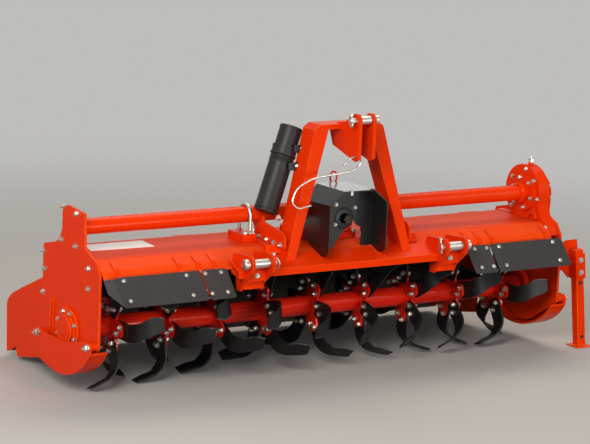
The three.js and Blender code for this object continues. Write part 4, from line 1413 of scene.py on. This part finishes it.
@dataclass
class Headstock:
    """The two legs, the top bar, the top-link ears and pin, the feet and the tube's saddle."""

    pin_y: float = -365.0
    pin_z: float = 869.0
    saddle_x: float = -376.0
    foot_bolts: Line = ((-86, 344), (-142, 341), (-202, 339), (-253, 337))
    cheek: Line = ((-286, 322), (-286, 372), (-262, 392), (-120, 412), (-62, 392), (-44, 330))
    cheek_faces: tuple[float, float] = (317.0, 325.0)
    edges: dict[str, tuple[float, int]] = field(default_factory=lambda: {
        "headstock_left_leg": (7, 3), "headstock_right_leg": (7, 3), "headstock_top_bar": (6, 3),
        "top_link_left_ear": (1.8, 2), "top_link_right_ear": (1.8, 2),
        "headstock_left_foot": (1.6, 2), "headstock_right_foot": (1.6, 2),
    })

    def pin(self, hitch: Hitch) -> None:
        """The top-link pin with its sleeve and linchpin.

        Args:
            hitch: the hitch, whose linchpins are of the same kind.
        """
        y, z = self.pin_y, self.pin_z
        blank = Blank().bar((-77, y, z), (64.5, y, z), 12.3, 2)
        blank.turned((-26, y, z), RIGHT, sleeve(12.5, 19, 52), 44, closed=True)
        head = [(0, 12.5), (0, 18), (1.5, 19.5), (17, 19.5), (18.5, 17), (18.5, 12.5)]
        blank.turned((46, y, z), RIGHT, head, 36, closed=True)
        hitch.linchpin(blank, (-64, y, z), 22, -1)
        blank.done("top_link_pin_plated", Body.FRAME, ZINC, 0, replaces=["top_link_pin"])

    def hook(self) -> None:
        """The bent rod that carries a loose drive shaft."""
        points = [(-104, -372, 686), (-68, -372, 716), (-14, -372, 716), (-14, -368, 680), (-60, -366, 654),
                  (-220, -322, 628), (-296, -316, 590), (-322, -318, 530), (-290, -322, 500),
                  (-226, -322, 512)]
        blank = Blank().sweep(rounded(points, 30, steps=6), 3.9, 16)
        blank.done("drive_shaft_hook_plated", Body.HOOK, ZINC, 0, replaces=["drive_shaft_hook"])

    def saddle(self) -> None:
        """The saddle and the U-bolt that hold the support tube."""
        as_modelled("tube_saddle", 2.0)
        x, y, z, reach = self.saddle_x, TUBE_Y, TUBE_Z, 42.5
        turns = [math.pi * k / 18 for k in range(19)]
        arc = [Vector((x, y - reach * math.cos(t), z + reach * math.sin(t))) for t in turns]
        path = [Vector((x, y - reach, 347)), *arc, Vector((x, y + reach, 347))]
        Blank().sweep(path, 7, 16).done("u_bolt_plated", Body.FRAME, ZINC, 0, replaces=["tube_u_bolt"])
        spots = [(x - 30, y - 50, 362), (x + 12, y - 50, 362), (x, y - reach - 0.5, 362.2),
                 (x, y + reach, 362.2)]
        M12.fitted("saddle_nuts", [(spot, UP) for spot in spots])

    def build(self, hitch: Hitch) -> None:
        """Builds the headstock.

        Args:
            hitch: the hitch below it.
        """
        for name, (bevel, steps) in self.edges.items():
            as_modelled(name, bevel, steps)
        inner, outer = self.cheek_faces
        cheeks, bolts = Blank(), []
        for _, side in SIDES:
            bolts += upright(side * outer, (side, 0, 0), self.foot_bolts)
            cheeks.along_x(rounded(self.cheek, 10, closed=True), *sorted((side * inner, side * outer)))
        M12.fitted("foot_bolts", bolts)
        cheeks.done("foot_cheeks_painted", Body.FRAME, ORANGE, 1.2)
        self.pin(hitch)
        self.hook()
        self.saddle()


@dataclass
class GuardPanels:
    """The four front panels, their arms over the hood's lip and their end flaps."""

    top: tuple[float, float] = (-293.0, 268.0)
    foot: tuple[float, float] = (-385.0, 162.0)
    thickness: float = 4.0
    places: dict[str, tuple[float, float, tuple[float, ...]]] = field(default_factory=lambda: {
        "left_outer_panel": (-1144.0, -746.0, (-1110.0, -816.0)),
        "left_inner_panel": (-736.0, -615.0, (-726.0, -650.0)),
        "right_inner_panel": (615.0, 736.0, (655.0, 720.0)),
        "right_outer_panel": (746.0, 1144.0, (790.0, 1090.0)),
    })
    bolt_shares: tuple[float, ...] = (0.13, 0.8)  # of the way from a panel's top to its foot
    arm_line: Line = ((-202, 313.3), (-246, 291.3), (-267, 263.6), (-291, 254.2), (-357.5, 177.6))

    def spot(self, x: float, share: float) -> Spot:
        """A place on the panels' front, that share of the way from top to foot."""
        (y, z), (foot_y, foot_z) = self.top, self.foot
        return (x, y + (foot_y - y) * share, z + (foot_z - z) * share)

    def build(self) -> None:
        """Builds the panels, the arms and the bolts."""
        arms, bolts = Blank(), []
        way = Vector((0, self.foot[1] - self.top[1], self.top[0] - self.foot[0])).normalized()
        for name, (low, high, lines) in self.places.items():
            panel = Blank()
            corners = [self.spot(low, 0), self.spot(high, 0), self.spot(high, 1), self.spot(low, 1)]
            panel.slab(corners, -self.thickness, 12)
            if "outer" in name:
                side = -1 if low < 0 else 1
                flap = [(side * 1141, -293, 264), (side * 1176, -256, 258), (side * 1176, -300, 206),
                        (side * 1141, -383, 164)]
                panel.slab(flap if side > 0 else flap[::-1], 3.5, 4)
            panel.done(name + "_coated", Body.FRAME, POWDER, 0.8, replaces=[name])
            for x in lines:
                arms.folded(rounded(self.arm_line, 8), -6, x - 9, x + 9)
                bolts += [(self.spot(x, share), way) for share in self.bolt_shares]
        arms.done("panel_arms_painted", Body.FRAME, ORANGE, 1.2)
        M10.fitted("panel_bolts", bolts)


@dataclass
class Skids:
    """The two side skids, a flat side with a wide curved sole."""

    sole: Line = ((-256, -52), (-214, -102), (-146, -146), (-60, -177), (20, -183), (110, -172), (300, -126))
    upper: Line = ((221, -50), (195, -26), (165, -38), (-20, -44), (-220, -4), (-260, -12))
    outer: float = 1228.0
    inner_edge: float = 1146.0
    thickness: float = 8.0
    bolts: Line = ((195, -50), (-236, -26))
    spacers: Line = ((195, -50), (-240, -22))
    toe: float = 256.0  # the sole's strip ends here, short of the side's point

    def build(self) -> None:
        """Builds both skids with their bolts."""
        sole = flowing(self.sole)
        upper = rounded([self.sole[-1], *self.upper, self.sole[0]], 14)[1:-1]
        for (word, side), body in zip(SIDES, (Body.LEFT_SKID, Body.RIGHT_SKID)):
            side_faces = sorted((side * self.outer, side * (self.outer - self.thickness)))
            blank = Blank().along_x([*sole, *upper], *side_faces)
            strip = [p for p in sole if p.x < self.toe]
            blank.folded(strip, self.thickness, *sorted((side * (self.outer - 1), side * self.inner_edge)))
            for y, z in self.spacers:
                blank.bar((side * (OUTSIDE + 0.3), y, z), (side * (self.outer - 2), y, z), 17, 1)
            blank.done(f"{word}_skid_painted", body, ORANGE, 1.6, replaces=[f"{word}_skid"])
            M16.fitted(f"{word}_skid_bolts", upright(side * self.outer, (side, 0, 0), self.bolts), body)


@dataclass
class TailBoard:
    """The hinged rear board with its cheeks."""

    line: Line = ((243, 288), (270, 172), (509, 68), (617, 17), (654, -20), (646, -240))
    half: float = 1138.0
    thickness: float = 5.0
    hinges: int = 5
    ribs: tuple[float, ...] = (-760, -380, 0, 380, 760)
    rib_depth: float = 22.0
    braces: tuple[float, ...] = (-1000, -500, 0, 500, 1000)
    brace_depth: float = 17.0
    side_room: float = 3.0  # from the middle of a rib or a brace to its faces
    foot_y: float = 646.0
    knuckle: Line = ((0, 9), (0, 14), (1.5, 15), (88.5, 15), (90, 14), (90, 9))
    strip_rows: tuple[float, float] = (-190.0, -218.0)
    strip_bolts: int = 13

    def build(self) -> None:
        """Builds the board, the near-black sheet that paints the shade inside it, ribs, braces and hinge."""
        line = rounded(self.line, 26)
        self.sheet(line)
        self.stiffeners(line)
        self.strip()
        self.hinge()

    def sheet(self, line: Sequence[Vector]) -> None:
        """The folded sheet with its cheeks, and a near-black sheet on its inner face that paints the shade
        there.

        Args:
            line: the sheet's inner face, in (y, z).
        """
        blank = Blank().folded(line, self.thickness, -self.half, self.half)
        cheek = [*line[6:], *(Vector(p) for p in ((610, -230), (572, -202), (546, -243), (278, -190)))]
        for _, side in SIDES:
            blank.along_x(cheek, *sorted((side * (self.half - self.thickness), side * self.half)))
        blank.folded([Vector((646, -239)), Vector((647, -212))], -9, -self.half + 6, self.half - 6)
        blank.done("tail_board_painted", Body.BOARD, ORANGE, 1.2, replaces=["tail_board"])
        # a thin near-black sheet inside the board paints the shade there
        within = beside(line, -0.15)
        coat = Blank().folded(within, -0.8, -self.half + self.thickness + 1, self.half - self.thickness - 1)
        coat.done("tail_board_painted_shade_lining", Body.BOARD, SHADE_BLACK, 0)

    def stiffeners(self, line: Sequence[Vector]) -> None:
        """The ribs inside the sheet, and the braces and the strip's backing outside it.

        Args:
            line: the sheet's inner face, in (y, z).
        """
        ribs, braces = Blank(), Blank()
        inner = beside([p for p in line if 280 < p.x and p.y > -30], -0.4)
        for x in self.ribs:
            rib = [*inner, *beside(inner, -self.rib_depth)[::-1]]
            ribs.along_x(rib, x - self.side_room, x + self.side_room)
        # the ribs inside the board take the same near-black painted shade
        ribs.done("tail_board_ribs", Body.BOARD, SHADE_BLACK, 0.8, 1)
        outer = beside([p for p in line if 285 < p.x and p.y > -12], self.thickness + 0.2)
        for x in self.braces:
            brace = [*outer, *beside(outer[1:-1], self.brace_depth)[::-1]]
            braces.along_x(brace, x - self.side_room, x + self.side_room)
        off = self.thickness + 0.3
        strip = [Vector((self.foot_y + off, -238)), Vector((self.foot_y + 2.6 + off, -168))]
        braces.folded(strip, -4, -self.half + 14, self.half - 14)
        braces.done("tail_board_braces", Body.BOARD, ORANGE, 0.8, 1)

    def strip(self) -> None:
        """Bolts two by two along the strip at the board's foot."""
        edge = self.half - 60
        step = 2 * edge / (self.strip_bolts - 1)
        rear = [((-edge + k * step, self.foot_y + 6.4 + self.thickness, z), (0, 1, 0.03))
                for k in range(self.strip_bolts) for z in self.strip_rows]
        M8.fitted("tail_board_strip_bolts", rear, Body.BOARD)

    def hinge(self) -> None:
        """The rod that the board turns on, with its knuckles."""
        y, z = self.line[0]
        rod = Blank().bar((-INSIDE + 0.4, y, z), (INSIDE - 0.4, y, z), 9, 1.5, 28)
        edge = self.half - 120
        step = 2 * edge / (self.hinges - 1)
        for k in range(self.hinges):
            rod.turned((-edge + k * step - 45, y, z), RIGHT, self.knuckle, 32, closed=True)
        rod.done("tail_board_hinge", Body.BOARD, ORANGE, 0)


@dataclass
class Stand:
    """The parking stand at the right front."""

    x: float = 1297.0
    y: float = -230.0
    lean: float = 6.0
    turn_z: float = 176.0

    def leaned(self, y: float, z: float) -> Spot:
        """A place on the upright stand's middle line, after it leans."""
        angle, rise = math.radians(self.lean), z - self.turn_z
        return (self.x - rise * math.sin(angle), y, self.turn_z + rise * math.cos(angle))

    def build(self) -> None:
        """Builds the bracket and the leg."""
        as_modelled("stand_bracket")
        as_modelled("stand_leg", 2.5, 3, Body.STAND)
        M12.fitted("stand_bolts", [(self.leaned(self.y - 26.9, z), FRONT) for z in (148, 90)])
        # thin black discs and rings on the leg's face paint the dark shade inside its pin holes
        holes = Blank()
        for z in (40, -215):
            spot = self.leaned(self.y - 21.2, z)
            holes.turned(spot, FRONT, [(0, 4), (0, 9), (0.8, 9), (0.8, 4)], 20, closed=True)
            holes.turned(spot, FRONT, [(0, 7.8), (0.3, 7.8)], 20)
        holes.done("stand_pin_hole_shade", Body.STAND, GUARD_BLACK, 0)


@dataclass
class PaperTube:
    """The moulded tube for the papers, on the left leg."""

    foot: Spot = (-340.0, -146.0, 462.0)
    top: Spot = (-195.0, -104.0, 812.0)
    radius: float = 52.0
    wall: float = 4.0
    cap: float = 130.0
    straps: tuple[float, ...] = (0.56, 0.765)

    def turned_body(self, body: float) -> Line:
        """The tube's section, with a ribbed grip at its foot and one under its cap.

        Args:
            body: the tube's length up to the cap.

        Returns:
            A loop of (distance along the axis, radius) pairs.
        """
        r = self.radius
        ribs = [(6 + k * 4.2 + d, r - low) for k in range(3) for d, low in ((0, 1.4), (1.4, 0), (2.8, 0))]
        high = [(body - 30 + k * 6 + d, r - low) for k in range(4) for d, low in ((0, 1.3), (1.5, 0), (4, 0))]
        outer = [(0, r - 6), (1.5, r - 2), (4, r - 1), *ribs, (24, r - 1.4), (body - 34, r - 1.4), *high,
                 (body - 1, r - 1.4), (body, r - 2.4)]
        inner = [(body, r - self.wall), (self.wall, r - self.wall), (self.wall, 2)]
        return [(0, 2), *outer, *inner]

    def build(self) -> None:
        """Builds the tube, its cap and its clips."""
        start, end = Vector(self.foot), Vector(self.top)
        along = (end - start).normalized()
        length = (end - start).length
        body = length - self.cap
        r = self.radius
        tube = Blank().turned(self.foot, along, self.turned_body(body), 56, closed=True)
        for share in self.straps:
            spot = start + along * (length * share)
            corners = ((2, -61, -17), (48, -67, -17), (48, -67, 17), (2, -61, 17))
            tube.slab([spot + Vector(c) for c in corners], 6, 4)
            tube.bar(spot + Vector((44, -60, 0)), spot + Vector((78, -52, 6)), 12, 3, 20)
        tube.done("paper_tube_moulded", Body.FRAME, MOULDED, 0, replaces=["paper_tube"])
        neck = body + 0.3
        cap = [(0, r - 4), (0, r + 3), (2, r + 4), (7, r + 4), (8, r + 1.5), (30, r + 1.5), (31, r + 3.6),
               (39, r + 3.6), (40.5, r - 3.4), (50, r - 3.4), (60, r - 3), (118, r - 3), (119, r - 1.6),
               (126, r - 1.6), (129.4, r - 5), (129.5, 6), (126.5, 5)]
        lid = Blank().turned(start + along * neck, along, [*cap, (125, 0.5), (1, 0.5)], 56, closed=True)
        lid.done("paper_tube_cap_moulded", Body.TUBE_CAP, MOULDED, 0, replaces=["paper_tube_cap"])
        section = [(0, 34), (0, 44), (2.8, 43), (2.8, 35)]
        rim = Blank().turned(start + along * (length - 3.2), along, section, 56, closed=True)
        rim.done("paper_tube_cap_rim", Body.TUBE_CAP, MOULDED, 0)
        way = Vector((-12, -38, 0)).normalized()
        out = Vector((38, -66, 3)) + way * 3
        screws = [(start + along * (length * share) + out, way) for share in self.straps]
        M8.fitted("paper_tube_screws", screws)
        M12.fitted("paper_tube_foot_nut", [((-308, -203, 444), (-1, -0.4, 0))])


# ---- Studio -----------------------------------------------------------------------------------


@dataclass
class Studio:
    """The camera, the floor and the lights."""

    azimuth: float = 33.386
    elevation: float = 10.663
    roll: float = 2.311
    distance: float = 11.8302
    aim: Spot = (-90.3, 0.0, 374.7)
    focal: float = 2735 / 590  # the lens's focal length over the film's width
    film: float = 36.0
    pale: str = "#bfbebc"
    bounce: str = "#7d7b79"
    sky: str = "#6e6f72"
    ground: float = 150.0  # half the floor's width, in metres
    watched: Spot = (0.0, 0.0, 0.4)  # where every lamp looks

    def camera(self) -> None:
        """Sets the camera."""
        a, e, roll = (math.radians(v) for v in (self.azimuth, self.elevation, self.roll))
        ahead = Vector((math.sin(a) * math.cos(e), math.cos(a) * math.cos(e), -math.sin(e)))
        level = Vector((math.cos(a), -math.sin(a), 0))
        up = level.cross(ahead)
        right = math.cos(roll) * level + math.sin(roll) * up
        top = math.cos(roll) * up - math.sin(roll) * level
        lens = bpy.data.cameras.new("camera")
        lens.lens, lens.sensor_width, lens.clip_end = self.focal * self.film, self.film, 300
        camera = placed("camera", lens)
        spot = AXIS + Vector(self.aim) * MM - ahead * self.distance
        columns = Matrix((right, top, -ahead)).transposed().to_4x4()
        camera.matrix_world = Matrix.Translation(spot) @ columns
        bpy.context.scene.camera = camera

    def seen(self, tree: Tree) -> Socket:
        """What tells sight from light.

        Args:
            tree: the tree it goes in.

        Returns:
            1 for what the camera, a reflection or glass sees, 0 for light that bounces.
        """
        path = add_node(tree, "ShaderNodeLightPath").outputs
        sight = calc(tree, "MAXIMUM", path["Is Camera Ray"], path["Is Glossy Ray"])
        return calc(tree, "MAXIMUM", sight, path["Is Transmission Ray"])

    def floor(self) -> None:
        """Lays a pale floor that takes the shadow."""
        mesh = bpy.data.meshes.new("floor")
        size = self.ground
        corners = [(-size, -size, 0), (size, -size, 0), (size, size, 0), (-size, size, 0)]
        mesh.from_pydata(corners, [], [(0, 1, 2, 3)])
        made = bpy.data.materials.new("studio_floor_painted")
        made.use_nodes = True
        tree = made.node_tree
        surface(tree, {
            "Base Color": mixed(tree, self.seen(tree), self.bounce, self.pale),
            "Roughness": 0.9,
            "Specular IOR Level": 0.0,
        })
        # far from the machine the lamps no longer reach, so the floor keeps its pale colour by itself
        place = add_node(tree, "ShaderNodeTexCoord").outputs["Object"]
        away = add_node(tree, "ShaderNodeVectorMath", {0: place}, operation="LENGTH").outputs["Value"]
        far = add_node(tree, "ShaderNodeMapRange", {"Value": away, "From Min": 1.6, "From Max": 6.0},
                       interpolation_type="SMOOTHSTEP")
        share = calc(tree, "MULTIPLY", far.outputs["Result"], self.seen(tree))
        glow = add_node(tree, "ShaderNodeEmission", {"Color": linear(self.pale), "Strength": 1.0})
        near = tree.nodes["Principled BSDF"].outputs[0]
        both = add_node(tree, "ShaderNodeMixShader", {0: share, 1: near, 2: glow.outputs[0]})
        tree.links.new(both.outputs[0], tree.nodes["Material Output"].inputs["Surface"])
        mesh.materials.append(made)
        placed("floor", mesh)

    def lamp(self, name: str, spot: Spot, size: tuple[float, float], power: float,
             colour: str = "#ffffff") -> None:
        """Hangs a soft lamp that looks at the machine.

        Args:
            name: the lamp's name.
            spot: where it hangs, in metres.
            size: its width and height, in metres.
            power: its power, in watts.
            colour: the colour of its light.
        """
        light = bpy.data.lights.new(name, "AREA")
        light.shape, light.size, light.size_y, light.energy = "RECTANGLE", *size, power
        light.color = linear(colour)[:3]
        hung = placed(name, light)
        hung.visible_camera = False
        hung.location = spot
        hung.rotation_euler = (Vector(self.watched) - Vector(spot)).to_track_quat("-Z", "Y").to_euler()

    def light(self) -> None:
        """Sets the world and the lamps."""
        world = bpy.data.worlds.new("studio")
        bpy.context.scene.world = world
        world.use_nodes = True
        tree = world.node_tree
        tone = mixed(tree, self.seen(tree), self.sky, self.pale)
        tree.links.new(tone, tree.nodes["Background"].inputs["Color"])
        self.lamp("key", (-5.6, -4.6, 4.2), (3.4, 3.0), 455, "#fff8f0")
        self.lamp("top", (1.6, 1.4, 5.0), (4.6, 3.0), 140, "#fff4e2")
        self.lamp("back", (4.4, 6.6, 2.4), (4.0, 1.6), 16)
        self.lamp("front", (0.4, -6.5, 0.7), (4.5, 1.2), 210)
        self.lamp("side", (-7.0, 0.4, 1.4), (3.0, 2.0), 100, "#fff4ec")
        self.lamp("fill", (5.5, -5.0, 2.6), (3.0, 3.0), 60)

    def build(self) -> None:
        """Sets up the studio."""
        self.floor()
        self.light()
        view = bpy.context.scene.view_settings
        view.view_transform = "Standard"


def main() -> None:
    """Builds the machine piece by piece."""
    logging.basicConfig(level=logging.INFO, format="%(name)s: %(message)s")
    studio = Studio()
    studio.camera()
    hitch = Hitch()
    for part in (SidePlates(), Hood(), CrossTubes(), Gearbox(), GearCase(), Rotor(), hitch, GuardPanels(),
                 Skids(), TailBoard(), Stand(), PaperTube()):
        part.build()
    Headstock().build(hitch)
    studio.build()


if __name__ == "__main__":
    main()
